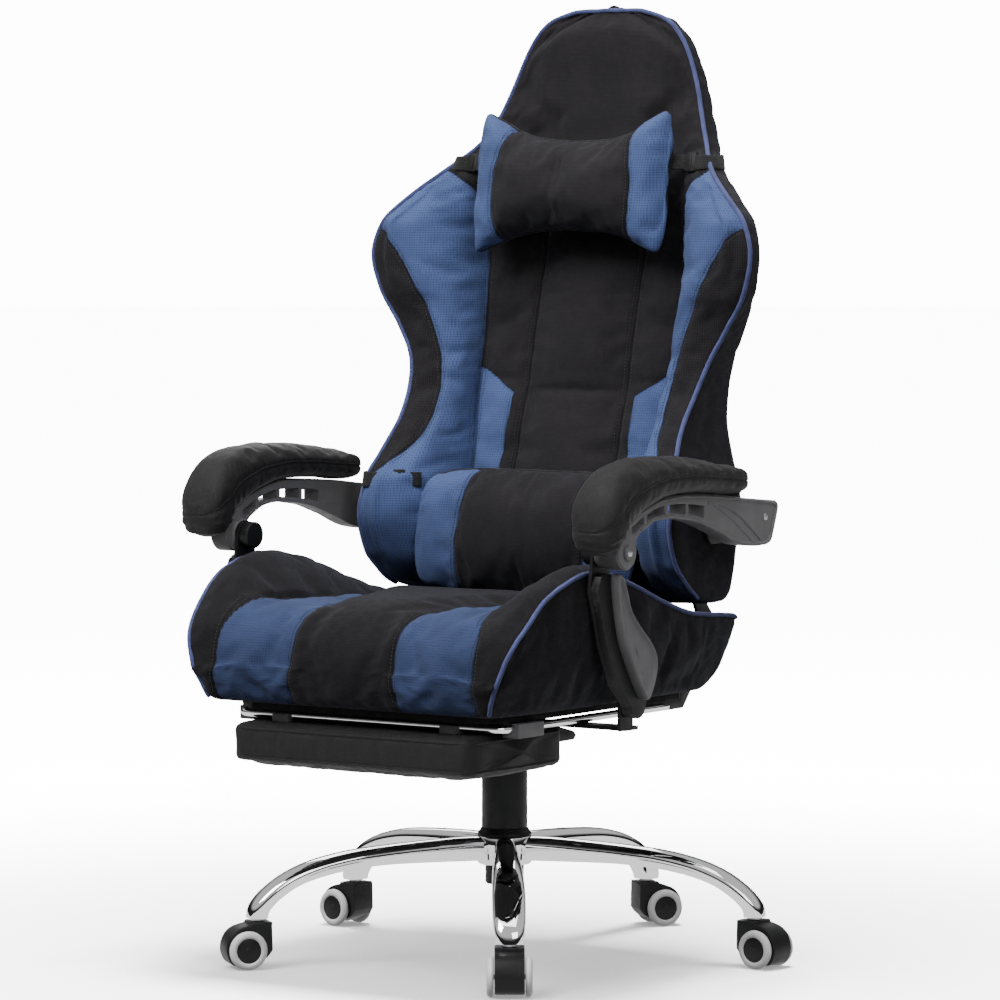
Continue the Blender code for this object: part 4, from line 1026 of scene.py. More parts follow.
def make_back_trim():
    left, right = piping_line(1), piping_line(-1)
    top = np.array([(x, 0.2445, 1.2300 + 0.0035 * math.sqrt(max(0, 1 - (x / 0.055) ** 2))) for x in np.linspace(0.050, -0.050, 16)])
    line = np.vstack([left, top, right[::-1]])
    line = resample(line, 0.0045)
    for _ in range(3):
        line[1:-1] = line[1:-1] * 0.5 + (line[:-2] + line[2:]) * 0.25
    out = []
    for p in line:
        q = Vector((p[0], p[1] - 0.004, p[2] + 0.004)) if p[2] > 1.2250 else Vector(p)
        hit = BACK_TREE.find_nearest(q)
        out.append(np.array(hit[0] + hit[1] * 0.0012))
    line = np.array(out)
    for _ in range(3):
        line[1:-1] = line[1:-1] * 0.5 + (line[:-2] + line[2:]) * 0.25
    pipe = sweep("back_piping", line, 0.0031, M_PIPE, n=12)
    finish(pipe, "back", "upholstery_fabric")
    # rows of stitches beside the seams on the front
    rows = []
    for side in (1, -1):
        for line2, mat in ((WING_IN[10:], M_THREAD), (INSERT_IN[3:-3], M_THREAD)):
            for off in (0.0042, -0.0042):
                p, n = front_line(line2, off, side)
                rows.append(stitches("st", p, n, mat=mat))
        chan = np.array([(CHANNEL_X, 0.60), (CHANNEL_X, 0.95)])
        for off in (0.0052, -0.0052):
            p, n = front_line(chan, off, side)
            rows.append(stitches("st", p, n))
        p, n = front_line(LOWER_PANEL[:3], 0.0036, side)
        rows.append(stitches("st", p, n, mat=M_BTHREAD))
    ob = join("back_stitching", *rows)
    finish(ob, "back", "upholstery_fabric")


make_back_trim()

# ---------------------------------------------------------------------- seat
SEAT_ROWS = (
    (-0.3560, 0.2140, 0.3720, 0.2350, 0.3900, 0.3960, 0.150, 0.4000), (-0.3500, 0.2180, 0.3560, 0.2440, 0.4180, 0.4260, 0.152, 0.4280),
    (-0.3380, 0.2200, 0.3490, 0.2510, 0.4400, 0.4480, 0.155, 0.4480), (-0.3180, 0.2240, 0.3480, 0.2560, 0.4620, 0.4700, 0.157, 0.4620),
    (-0.2850, 0.2300, 0.3480, 0.2600, 0.4920, 0.5000, 0.160, 0.4690), (-0.2500, 0.2340, 0.3480, 0.2630, 0.5090, 0.5160, 0.163, 0.4710),
    (-0.2000, 0.2360, 0.3480, 0.2650, 0.5210, 0.5270, 0.166, 0.4710), (-0.1500, 0.2370, 0.3480, 0.2640, 0.5160, 0.5220, 0.168, 0.4710),
    (-0.1000, 0.2370, 0.3480, 0.2620, 0.5030, 0.5090, 0.170, 0.4690), (-0.0500, 0.2360, 0.3480, 0.2600, 0.4850, 0.4900, 0.172, 0.4670),
    (0.0000, 0.2340, 0.3480, 0.2570, 0.4680, 0.4720, 0.175, 0.4620), (0.0600, 0.2320, 0.3480, 0.2540, 0.4540, 0.4570, 0.178, 0.4530),
    (0.1200, 0.2280, 0.3480, 0.2510, 0.4480, 0.4500, 0.180, 0.4480), (0.1400, 0.2250, 0.3530, 0.2490, 0.4460, 0.4480, 0.180, 0.4460),
    (0.1620, 0.2250, 0.3680, 0.2480, 0.4440, 0.4450, 0.178, 0.4440), (0.1750, 0.2250, 0.3900, 0.2450, 0.4410, 0.4415, 0.176, 0.4415),
)
BLUE_IN = catmull([(0.0830, -0.520), (0.0817, -0.451), (0.0805, -0.428), (0.0780, -0.369), (0.0795, -0.326), (0.0830, -0.287),
                   (0.0920, -0.237), (0.1120, -0.170), (0.1500, -0.090)], 6)
BLUE_OUT = catmull([(0.1500, -0.090), (0.1640, -0.170), (0.1740, -0.237), (0.1790, -0.270), (0.1880, -0.315), (0.1977, -0.369),
                    (0.1994, -0.428), (0.2006, -0.451), (0.2020, -0.520)], 6)
BOLSTER = catmull([(0.1790, -0.270), (0.1740, -0.237), (0.1680, -0.180), (0.1680, -0.120), (0.1700, -0.060), (0.1740, 0.0),
                   (0.1780, 0.080), (0.1800, 0.170)], 6)


def seat_s(P):
    """Along-the-cover coordinate: y on top, running on down the front."""
    k = smooth01((-0.262 - P[:, 1]) / 0.060)
    return P[:, 1] + (P[:, 2] - 0.468) * k


def make_seat():
    prof = np.array([(r[0], r[7]) for r in SEAT_ROWS])
    fine = catmull(prof, 6)
    ys = resample(fine, 0.0068)[:, 0]
    ys = np.unique(np.round(np.clip(ys, -0.3560, 0.1750), 5))
    rings, kinds = [], []
    for y in ys:
        xb, zb, xp, zp, zc, xf, zt = rows_at(SEAT_ROWS, y)
        h = max(0.001, min(zp, zc) - zb)
        bottom = [(x, zb) for x in np.linspace(0, xb - 0.012, 22)]
        cornr = [(xb - 0.005, zb + 0.0015), (xb, zb + min(0.006, h * 0.2))]
        side = [(xb + (xp - xb) * k, zb + min(0.006, h * 0.2) + (zp - zb - min(0.006, h * 0.2)) * k) for k in np.linspace(0, 1, 15)[1:]]
        top = catmull([(xp, zp - 0.01), (xp, zp), (xp - 0.012, zp + (zc - zp) * 0.8), (xp - 0.030, zc),
                       (xp - 0.052, (zc * 2 + zt) / 3), (xf + 0.010, zt + (zc - zt) * 0.10), (xf - 0.004, zt), (xf - 0.03, zt)], 6)
        top = resample(top[6:37], n=15)[1:]
        flat = [(x, zt) for x in np.linspace(xf - 0.004, 0, 22)[1:]]
        half = np.array(bottom + cornr + side + list(map(tuple, top)) + flat)
        kind = np.concatenate([np.full(len(bottom) + 2, -2.0), np.full(len(side) - 1, -1.0), [0.0], np.full(len(top) + len(flat), 1.0)])
        other = half[1:-1][::-1] * [-1, 1]
        ring = np.vstack([half, other])
        rings.append(np.column_stack([ring[:, 0], np.full(len(ring), y), ring[:, 1]]))
        kinds.append(np.concatenate([kind, kind[1:-1][::-1]]))
    n = len(rings[0])
    zc0 = float((rings[0][:, 2].min() + rings[0][:, 2].max()) / 2)
    m = len(rings[0]) // 2 + 1
    pair = np.arange(m)[::-1]
    half0 = rings[0][:m]
    xmean = (half0[:, 0] + half0[pair][:, 0]) / 2
    xfull = np.concatenate([xmean, -xmean[1:-1][::-1]])
    nose = []
    for k in (0.0, 0.25, 0.5, 0.75, 0.92):
        r = rings[0].copy()
        w = (1 - k) ** 1.5
        r[:, 0] = (r[:, 0] * (1 - w) + xfull * w) * (1 - 0.012 * (1 - k))
        r[:, 2] = zc0 + (r[:, 2] - zc0) * k
        r[:, 1] -= 0.0050 * math.sqrt(1 - k * k)
        nose.append(r)
    rings, kinds = nose + rings, [np.ones(n)] * len(nose) + kinds
    rings_all = len(rings)
    tail = []
    for k in (0.80, 0.55, 0.28):
        c = rings[-1].mean(0)
        tail.append(c + (rings[-1] - c) * k + np.array([0, 0.003 * math.sqrt(1 - k * k), 0]))
    rings = rings + tail
    ob = rings_obj("seat_upholstery", rings, M_UPH, dome=False)
    kind = np.concatenate([np.concatenate(kinds), np.tile(np.minimum(kinds[-1], -1.0), 3), [1.0, -1.0]])
    P = coords(ob)
    ax = np.abs(P[:, 0])
    low_front = (P[:, 1] < -0.3390) & (ax < 0.2100) & (P[:, 2] > 0.3500)
    kind[low_front] = 1.0
    attr(ob, "zone", kind)
    bm = bmesh.new()
    bm.from_mesh(ob.data)
    bm.verts.ensure_lookup_table()
    bmesh.ops.delete(bm, geom=[bm.verts[len(rings) * n]], context="VERTS")
    bmesh.ops.remove_doubles(bm, verts=[v for v in bm.verts if v.co.y < -0.350], dist=0.00002)
    bmesh.ops.recalc_face_normals(bm, faces=bm.faces[:])
    print("seat open edges", sum(1 for e in bm.edges if len(e.link_faces) != 2))
    bm.to_mesh(ob.data)
    bm.free()
    kind = get_attr(ob, "zone")
    P = coords(ob)
    ax = np.abs(P[:, 0])
    q = np.column_stack([ax, seat_s(P)])
    A3 = np.column_stack([ax, P[:, 1], P[:, 2]])
    e = rows_at(SEAT_ROWS, ys)
    pipe = np.column_stack([e[:, 2], ys, e[:, 3]])
    low = np.column_stack([e[:, 0], ys, e[:, 1] + 0.004])

    def near(d, r):
        return np.exp(-(d / r) ** 2)

    hold = near(dist_line(A3, pipe), 0.008)
    hold = np.maximum(hold, near(dist_line(A3, low), 0.012))
    hold = np.maximum(hold, (kind < -1.5) * 1.0)
    for line, r in ((BLUE_IN, 0.006), (BLUE_OUT, 0.006), (BOLSTER, 0.007)):
        hold = np.maximum(hold, (kind > 0) * near(dist_line(q, line), r))
    hold = np.maximum(hold, (P[:, 1] > 0.10) * 0.8)
    hold = np.maximum(hold, smooth01((0.366 - P[:, 2]) / 0.016) * 0.9)
    inflate(ob, hold, cap=0.013, pressure=4.0, grow=0.03)
    subdivide(ob)
    P, N = coords(ob), vnormals(ob)
    zone = get_attr(ob, "zone")
    ax = np.abs(P[:, 0])
    q = np.column_stack([ax, seat_s(P)])
    front = smooth01((zone + 0.2) / 0.6)
    poly = np.vstack([BLUE_IN, BLUE_OUT[1:]])
    sb = sd_poly(q, poly)
    attr(ob, "blue_sd", np.minimum(sb, zone * 0.02))
    attr(ob, "insert_sd", np.full(len(P), -1.0))
    d1, d2, d3 = dist_line(q, BLUE_IN), dist_line(q, BLUE_OUT), dist_line(q, BOLSTER)
    seam = np.where(zone > 0, np.minimum.reduce([d1, d2, d3]), 1.0)
    attr(ob, "seam_d", seam)
    groove = front * (0.0030 * np.exp(-(np.minimum(d1, d2) / 0.0034) ** 2) + 0.0046 * np.exp(-(d3 / 0.0050) ** 2))
    near_seam = np.exp(-(seam / 0.024) ** 2)
    side = smooth01((-zone - 0.2) / 0.5)
    ripple = waves(P, 0.036, 11) * 0.0007 * near_seam + waves(P, 0.17, 12) * 0.0014 + side * waves(P * [1, 1, 0.4], 0.09, 13) * 0.0010
    bottom = smooth01((-zone - 1.2) / 0.6)
    set_coords(ob, P + N * ((ripple * (1 - bottom)) - groove)[:, None])
    finish(ob, "seat", "upholstery_fabric", "seat_cushion", fill=0.8)
    return ob, pipe


SEAT, SEAT_PIPE = make_seat()
SEAT_TREE = surface(SEAT)


def make_seat_trim():
    for side, nm in ((1, "left"), (-1, "right")):
        low = np.array([(0.2180, -0.3440, 0.3520), (0.2290, -0.3530, 0.3720)])
        line = np.vstack([low, SEAT_PIPE[1:]])
        line = line * [side, 1, 1]
        line = resample(catmull(line, 4), 0.0045)
        for _ in range(4):
            line[1:-1] = line[1:-1] * 0.5 + (line[:-2] + line[2:]) * 0.25
        out = []
        for p in line:
            hit = SEAT_TREE.find_nearest(Vector(p))
            out.append(np.array(hit[0] + hit[1] * 0.0012))
        out = np.array(out)
        for _ in range(3):
            out[1:-1] = out[1:-1] * 0.5 + (out[:-2] + out[2:]) * 0.25
        pipe = sweep("seat_piping_" + nm, out, 0.0030, M_PIPE, n=12)
        finish(pipe, "seat", "upholstery_fabric")
    rows = []
    for side in (1, -1):
        for line in (BLUE_IN, BLUE_OUT, BOLSTER):
            for off in (0.0040, -0.0040):
                ln = resample(line, 0.004)
                t = np.gradient(ln, axis=0)
                t /= np.linalg.norm(t, axis=1)[:, None]
                ln = ln + np.column_stack([-t[:, 1], t[:, 0]]) * off
                keep, nor = [], []
                for x, s in ln:
                    if s > -0.335:
                        y = max(s, -0.3300)
                        hit = SEAT_TREE.ray_cast(Vector((side * x, y, 0.70)), Vector((0, 0, -1)))
                    else:
                        z = 0.468 + (s + 0.352)
                        if z < 0.356:
                            continue
                        hit = SEAT_TREE.ray_cast(Vector((side * x, -0.50, z)), Vector((0, 1, 0)))
                    if hit[0] is None:
                        continue
                    keep.append(np.array(hit[0] + hit[1] * 0.0002))
                    nor.append(np.array(hit[1]))
                if len(keep) > 3:
                    keep, nor = np.array(keep), np.array(nor)
                    jump = np.nonzero(np.linalg.norm(np.diff(keep, axis=0), axis=1) > 0.012)[0]
                    cuts = [0, *list(jump + 1), len(keep)]
                    for a, b in zip(cuts, cuts[1:]):
                        if b - a > 3:
                            rows.append(stitches("st", keep[a:b], nor[a:b]))
    ob = join("seat_stitching", *rows)
    finish(ob, "seat", "upholstery_fabric")


make_seat_trim()


# ------------------------------------------------------------------- pillows
LUMBAR = ((0.1700, 0.0420, 0.0560, 0.4980, 0.5980), (0.1640, 0.0390, 0.0620, 0.4860, 0.6100), (0.1500, 0.0350, 0.0780, 0.4740, 0.6200),
          (0.1200, 0.0320, 0.0980, 0.4700, 0.6250), (0.0800, 0.0310, 0.1080, 0.4680, 0.6265), (0.0, 0.0310, 0.1100, 0.4680, 0.6270))
NECK = ((0.1480, 0.1500, 0.1600, 0.9240, 1.0860), (0.1420, 0.1400, 0.1680, 0.9130, 1.0950), (0.1200, 0.1280, 0.1830, 0.9200, 1.0860),
        (0.0900, 0.1200, 0.2000, 0.9320, 1.0700), (0.0500, 0.1160, 0.2080, 0.9400, 1.0600), (0.0, 0.1150, 0.2090, 0.9430, 1.0570))


def make_pillow(name, rows, lean, border, body, node, cap, seed, motif):
    tab = np.array(rows)[::-1]
    xs = np.linspace(0, tab[-1, 0], int(tab[-1, 0] / 0.0052) + 1)
    xs = np.concatenate([-xs[:0:-1], xs])
    n = 52
    ang = (np.arange(n) + 0.5) * 2 * math.pi / n
    ca, sa = np.cos(ang), np.sin(ang)
    rings = []
    for x in xs:
        y0, y1, z0, z1 = rows_at(tab, abs(x))
        ym, zm, hy, hz = (y0 + y1) / 2, (z0 + z1) / 2, (y1 - y0) / 2, (z1 - z0) / 2
        dy = hy * np.sign(ca) * np.abs(ca) ** 0.86
        dz = hz * np.sign(sa) * np.abs(sa) ** 0.70
        rings.append(np.column_stack([np.full(n, x), ym + dy + dz * lean, zm + dz]))
    ob = rings_obj(name, rings, M_UPH, dome=True, dome_h=(0.003, 0.003))
    m = len(rings) + 6
    face = np.concatenate([np.tile(-ca, m), [0.0, 0.0]])
    rim = np.concatenate([np.tile(np.abs(ca), m), [0.0, 0.0]])
    face[:3 * n] *= 0.2
    face[(m - 3) * n:m * n] *= 0.2
    attr(ob, "zone", face)
    P = coords(ob)
    q = np.column_stack([np.abs(P[:, 0]), P[:, 2]])
    edge = np.exp(-(rim / 0.10) ** 2)
    ends = np.exp(-((np.abs(P[:, 0]) - tab[-1, 0]) / 0.006) ** 2)
    bd = catmull(border, 8)
    seam = np.exp(-(dist_line(q, bd) / 0.006) ** 2) * (face > 0)
    hold = np.maximum.reduce([edge, ends, seam * 0.9, (face < -0.3) * 0.85])
    inflate(ob, hold, cap=cap, pressure=5.0, grow=0.04)
    subdivide(ob)
    P, N = coords(ob), vnormals(ob)
    face = get_attr(ob, "zone")
    q = np.column_stack([np.abs(P[:, 0]), P[:, 2]])
    poly = np.vstack([bd, [(0.30, bd[-1][1]), (0.30, bd[0][1])]])
    attr(ob, "blue_sd", np.minimum(sd_poly(q, poly), (face + 0.06) * 0.02))
    attr(ob, "insert_sd", np.full(len(P), -1.0))
    d = dist_line(q, bd)
    d = np.where(face > 0, d, 1.0)
    attr(ob, "seam_d", d)
    front = smooth01((face + 0.05) / 0.2)
    groove = front * 0.0030 * np.exp(-(d / 0.0034) ** 2)
    near_seam = np.exp(-(d / 0.020) ** 2) + 0.8 * np.exp(-((np.abs(P[:, 0]) - tab[-1, 0]) / 0.020) ** 2)
    ripple = waves(P, 0.028, seed) * 0.0009 * near_seam + waves(P * [1, 1, 1.2], 0.11, seed + 1) * 0.0016
    set_coords(ob, P + N * (ripple - groove)[:, None])
    tree = surface(ob)
    rows_st, line = [], resample(bd, 0.004)
    t = np.gradient(line, axis=0)
    t /= np.linalg.norm(t, axis=1)[:, None]
    for side in (1, -1):
        for off in (0.0042, -0.0042):
            ln = line + np.column_stack([-t[:, 1], t[:, 0]]) * off
            keep, nor = [], []
            for x, z in ln:
                hit = tree.ray_cast(Vector((side * x, -0.4, z)), Vector((0, 1, 0)))
                if hit[0] is not None and hit[1][1] < -0.2:
                    keep.append(np.array(hit[0] + hit[1] * 0.0002))
                    nor.append(np.array(hit[1]))
            if len(keep) > 4:
                rows_st.append(stitches("st", np.array(keep), np.array(nor)))
    trim = []
    # the sewn edge round the pillow's front
    for sa_s in (1, -1):
        pts = []
        for x in np.linspace(-tab[-1, 0] + 0.003, tab[-1, 0] - 0.003, 90):
            y0, y1, z0, z1 = rows_at(tab, abs(x))
            zm, hz = (z0 + z1) / 2, (z1 - z0) / 2
            p = Vector((x, (y0 + y1) / 2 + sa_s * hz * lean, zm + sa_s * hz * 1.02))
            hit = tree.find_nearest(p)
            pts.append(np.array(hit[0] + hit[1] * 0.0003))
        pts = np.array(pts)
        for _ in range(3):
            pts[1:-1] = pts[1:-1] * 0.5 + (pts[:-2] + pts[2:]) * 0.25
        trim.append(sweep("edge", pts, 0.0016, M_BPIPE, n=8))
    finish(ob, body, "upholstery_fabric", node, fill=0.6)
    st = join(name + "_stitching", *rows_st, *trim)
    finish(st, body, "upholstery_fabric")
    return ob


NECK_OB = make_pillow("neck_pillow_cover", NECK, 0.14,
                      [(0.0860, 1.1000), (0.0960, 1.0700), (0.1060, 1.0300), (0.1100, 1.0000), (0.1090, 0.9700), (0.1040, 0.9400), (0.0980, 0.9000)],
                      "neck_pillow", "neck_pillow", 0.010, 21, 0)
LUMBAR_OB = make_pillow("lumbar_pillow_cover", LUMBAR, 0.16,
                        [(0.0900, 0.6600), (0.0950, 0.6200), (0.1000, 0.5800), (0.1020, 0.5500), (0.1015, 0.5150), (0.1000, 0.4800), (0.0980, 0.4400)],
                        "lumbar_pillow", "lumbar_pillow", 0.010, 31, 0)


def make_strap(name, z0, half, gap, start, body, node):
    w, yp, ys, yc, yr = edge_at(z0)
    pts = [start, (w + gap - 0.014, yp - gap - 0.004), (w + gap, yp + 0.004), (w + gap, ys - 0.012), (w + gap - 0.008, ys + gap)]
    pts += [(w * k, yr + (ys - yr) * k * k + gap) for k in (0.9, 0.75, 0.5, 0.25, 0.0)]
    hp = resample(catmull(pts, 6), 0.005)
    full = np.vstack([hp, hp[-2::-1] * [-1, 1]])
    P, N = [], []
    for x, y in full:
        p = Vector((x, y, z0))
        hit = BACK_TREE.find_nearest(p)
        nn = np.array(hit[1])
        nn[2] *= 0.3
        nn /= np.linalg.norm(nn)
        d = (p - hit[0]).dot(hit[1])
        lift = 0.0022 if abs(abs(x) - w) > 0.008 or y > yp + 0.012 else 0.0052
        q = np.array(hit[0]) + nn * lift if -0.004 < d < 0.016 else np.array(p)
        q[2] = z0
        P.append(q)
        N.append(nn)
    P, N = np.array(P), np.array(N)
    k = 4
    P[:k] = np.array([(a, b, z0) for a, b in full[:k]])
    P[-k:] = np.array([(a, b, z0) for a, b in full[-k:]])
    for _ in range(6):
        P[1:-1] = P[1:-1] * 0.5 + (P[:-2] + P[2:]) * 0.25
        N[1:-1] = N[1:-1] * 0.5 + (N[:-2] + N[2:]) * 0.25
    ob = band(name, P, N, half, 0.0020, M_WEB)
    finish(ob, body, "black_webbing", node)
    parts = []
    s = np.concatenate([[0], np.cumsum(np.linalg.norm(np.diff(P, axis=0), axis=1))])
    for at in (0.030, s[-1] - 0.030):
        i = int(np.searchsorted(s, at))
        c, nn = P[i], N[i] / np.linalg.norm(N[i])
        t = P[i + 1] - P[i - 1]
        t /= np.linalg.norm(t)
        up = np.cross(t, nn)
        b = block("buckle", (-0.008, -half - 0.0035, -0.0016), (0.008, half + 0.0035, 0.0030), M_BLACKP, 0.0012)
        b2 = block("bar", (-0.0018, -half - 0.001, 0.0022), (0.0018, half + 0.001, 0.0042), M_BLACKP, 0.0008)
        b = join("b", b, b2)
        mtx = Matrix(((t[0], up[0], nn[0], c[0]), (t[1], up[1], nn[1], c[1]), (t[2], up[2], nn[2], c[2]), (0, 0, 0, 1)))
        if mtx.to_3x3().determinant() < 0:
            mtx = Matrix(((-t[0], up[0], nn[0], c[0]), (-t[1], up[1], nn[1], c[1]), (-t[2], up[2], nn[2], c[2]), (0, 0, 0, 1)))
        b.data.transform(mtx)
        parts.append(b)
    bk = join(name + "_buckles", *parts)
    bk.data.shade_smooth()
    bk.data.set_sharp_from_angle(angle=math.radians(35))
    finish(bk, body, "black_plastic")


make_strap("neck_strap_band", 1.0300, 0.0100, 0.0065, (0.1440, 0.1660), "neck_pillow", "neck_strap")
make_strap("lumbar_strap_band", 0.6120, 0.0100, 0.0070, (0.1690, 0.0500), "lumbar_pillow", "lumbar_strap")

# ------------------------------------------------------------------ armrests
ARM_P0, ARM_P1, ARM_P2 = (-0.125, 0.352), (-0.191, 0.548), (0.140, 0.568)
PADS = ((-0.2560, 0.5620, 0.5920, 0.020), (-0.2520, 0.5530, 0.6080, 0.028), (-0.2450, 0.5480, 0.6220, 0.033), (-0.2350, 0.5470, 0.6350, 0.035),
        (-0.2240, 0.5510, 0.6440, 0.035), (-0.2120, 0.5710, 0.6500, 0.035), (-0.2000, 0.5810, 0.6540, 0.035), (-0.1800, 0.5910, 0.6580, 0.035),
        (-0.1640, 0.5990, 0.6600, 0.035), (-0.1130, 0.6130, 0.6600, 0.035), (-0.0600, 0.6155, 0.6570, 0.035), (0.0000, 0.6125, 0.6510, 0.034),
        (0.0400, 0.6095, 0.6470, 0.0335), (0.0600, 0.6105, 0.6430, 0.030), (0.0650, 0.6130, 0.6370, 0.024))


def arc(cx, cy, r, a0, a1, n):
    return [(cx + r * math.cos(math.radians(a0 + (a1 - a0) * i / n)),
             cy + r * math.sin(math.radians(a0 + (a1 - a0) * i / n))) for i in range(n + 1)]


def make_pad(side, s):
    ys = resample(np.array([(r[0], (r[1] + r[2]) * 0.9) for r in PADS]), 0.0046)[:, 0]
    ys = np.unique(np.round(np.clip(ys, -0.2560, 0.0650), 5))
    n = 44
    ang = (np.arange(n) + 0.5) * 2 * math.pi / n
    ca, sa = np.cos(ang), np.sin(ang)
    rings = []
    for y in ys:
        zb, zt, hw = rows_at(PADS, y)
        rings.append(np.column_stack([s * (0.3050 + hw * np.sign(ca) * np.abs(ca) ** 0.72), np.full(n, y),
                                      (zb + zt) / 2 + (zt - zb) / 2 * np.sign(sa) * np.abs(sa) ** 0.70]))
    ob = rings_obj("armrest_pad_cover_" + side, rings, M_LEATHER, dome=True, dome_h=(0.003, 0.003))
    m = len(rings) + 6
    rel = np.concatenate([np.tile(sa, m), [0.0, 0.0]])
    attr(ob, "rel", rel)
    P = coords(ob)
    hold = np.maximum(0.7 * np.exp(-((rel - 0.02) / 0.10) ** 2), (rel < -0.45) * 0.9)
    hold = np.maximum(hold, np.exp(-((P[:, 1] - 0.064) / 0.006) ** 2))
    inflate(ob, hold, cap=0.0045, pressure=4.0, grow=0.02)
    subdivide(ob)
    P, N = coords(ob), vnormals(ob)
    rel = get_attr(ob, "rel")
    groove = 0.0018 * np.exp(-((rel - 0.02) / 0.06) ** 2)
    fold = np.exp(-((P[:, 1] + 0.236) / 0.018) ** 2) * smooth01((-0.05 - rel) / 0.5)
    wr = fold * 0.0014 * np.sin(P[:, 2] * 2 * math.pi / 0.0120 + 2.0 * np.sin(P[:, 1] * 90) + P[:, 0] * 40)
    bendw = np.exp(-((P[:, 1] + 0.205) / 0.022) ** 2) * smooth01((-0.1 - rel) / 0.5)
    wr += bendw * 0.0007 * np.sin((P[:, 1] + 0.6 * P[:, 2]) * 2 * math.pi / 0.016)
    big = waves(P, 0.075, 41 if s > 0 else 47) * 0.0011 + waves(P, 0.025, 43) * 0.0003
    set_coords(ob, P + N * (wr + big - groove)[:, None])
    tree = surface(ob)
    welts = []
    for sg in (1, -1):
        pts = []
        for y in np.linspace(-0.2520, 0.060, 90):
            zb, zt, hw = rows_at(PADS, y)
            x = 0.3050 + sg * hw
            z = (zb + zt) / 2 + (zt - zb) / 2 * 0.06
            hit = tree.find_nearest(Vector((s * x, y, z)))
            pts.append(np.array(hit[0] + hit[1] * 0.0002))
        pts = np.array(pts)
        for _ in range(3):
            pts[1:-1] = pts[1:-1] * 0.5 + (pts[:-2] + pts[2:]) * 0.25
        welts.append(sweep("w", pts, 0.0011, M_LEATHER, n=8))
    finish(ob, "armrest_" + side, "black_leather", "armrest_pad_" + side, fill=0.7)
    finish(join("armrest_pad_welts_" + side, *welts), "armrest_" + side, "black_leather")


def frame_edges(y):
    lower = np.array([(-0.1690, 0.5640), (-0.1600, 0.5700), (-0.1300, 0.5830), (-0.0870, 0.5850), (-0.0300, 0.5770), (0.0250, 0.5600)])
    upper = np.array([(-0.2020, 0.5740), (-0.1640, 0.5960), (-0.1130, 0.6110), (-0.0600, 0.6140), (0.0200, 0.6095)])
    return np.interp(y, lower[:, 0], lower[:, 1]), np.interp(y, upper[:, 0], upper[:, 1])


def mirror_x(ob, s):
    if s < 0:
        ob.data.transform(Matrix.Diagonal((-1, 1, 1, 1)))
        ob.data.flip_normals()
    return ob


def slot_cross(name, pts, x, r, mat):
    return sweep(name, np.array([(x, *p) for p in pts]), r, mat, n=10)


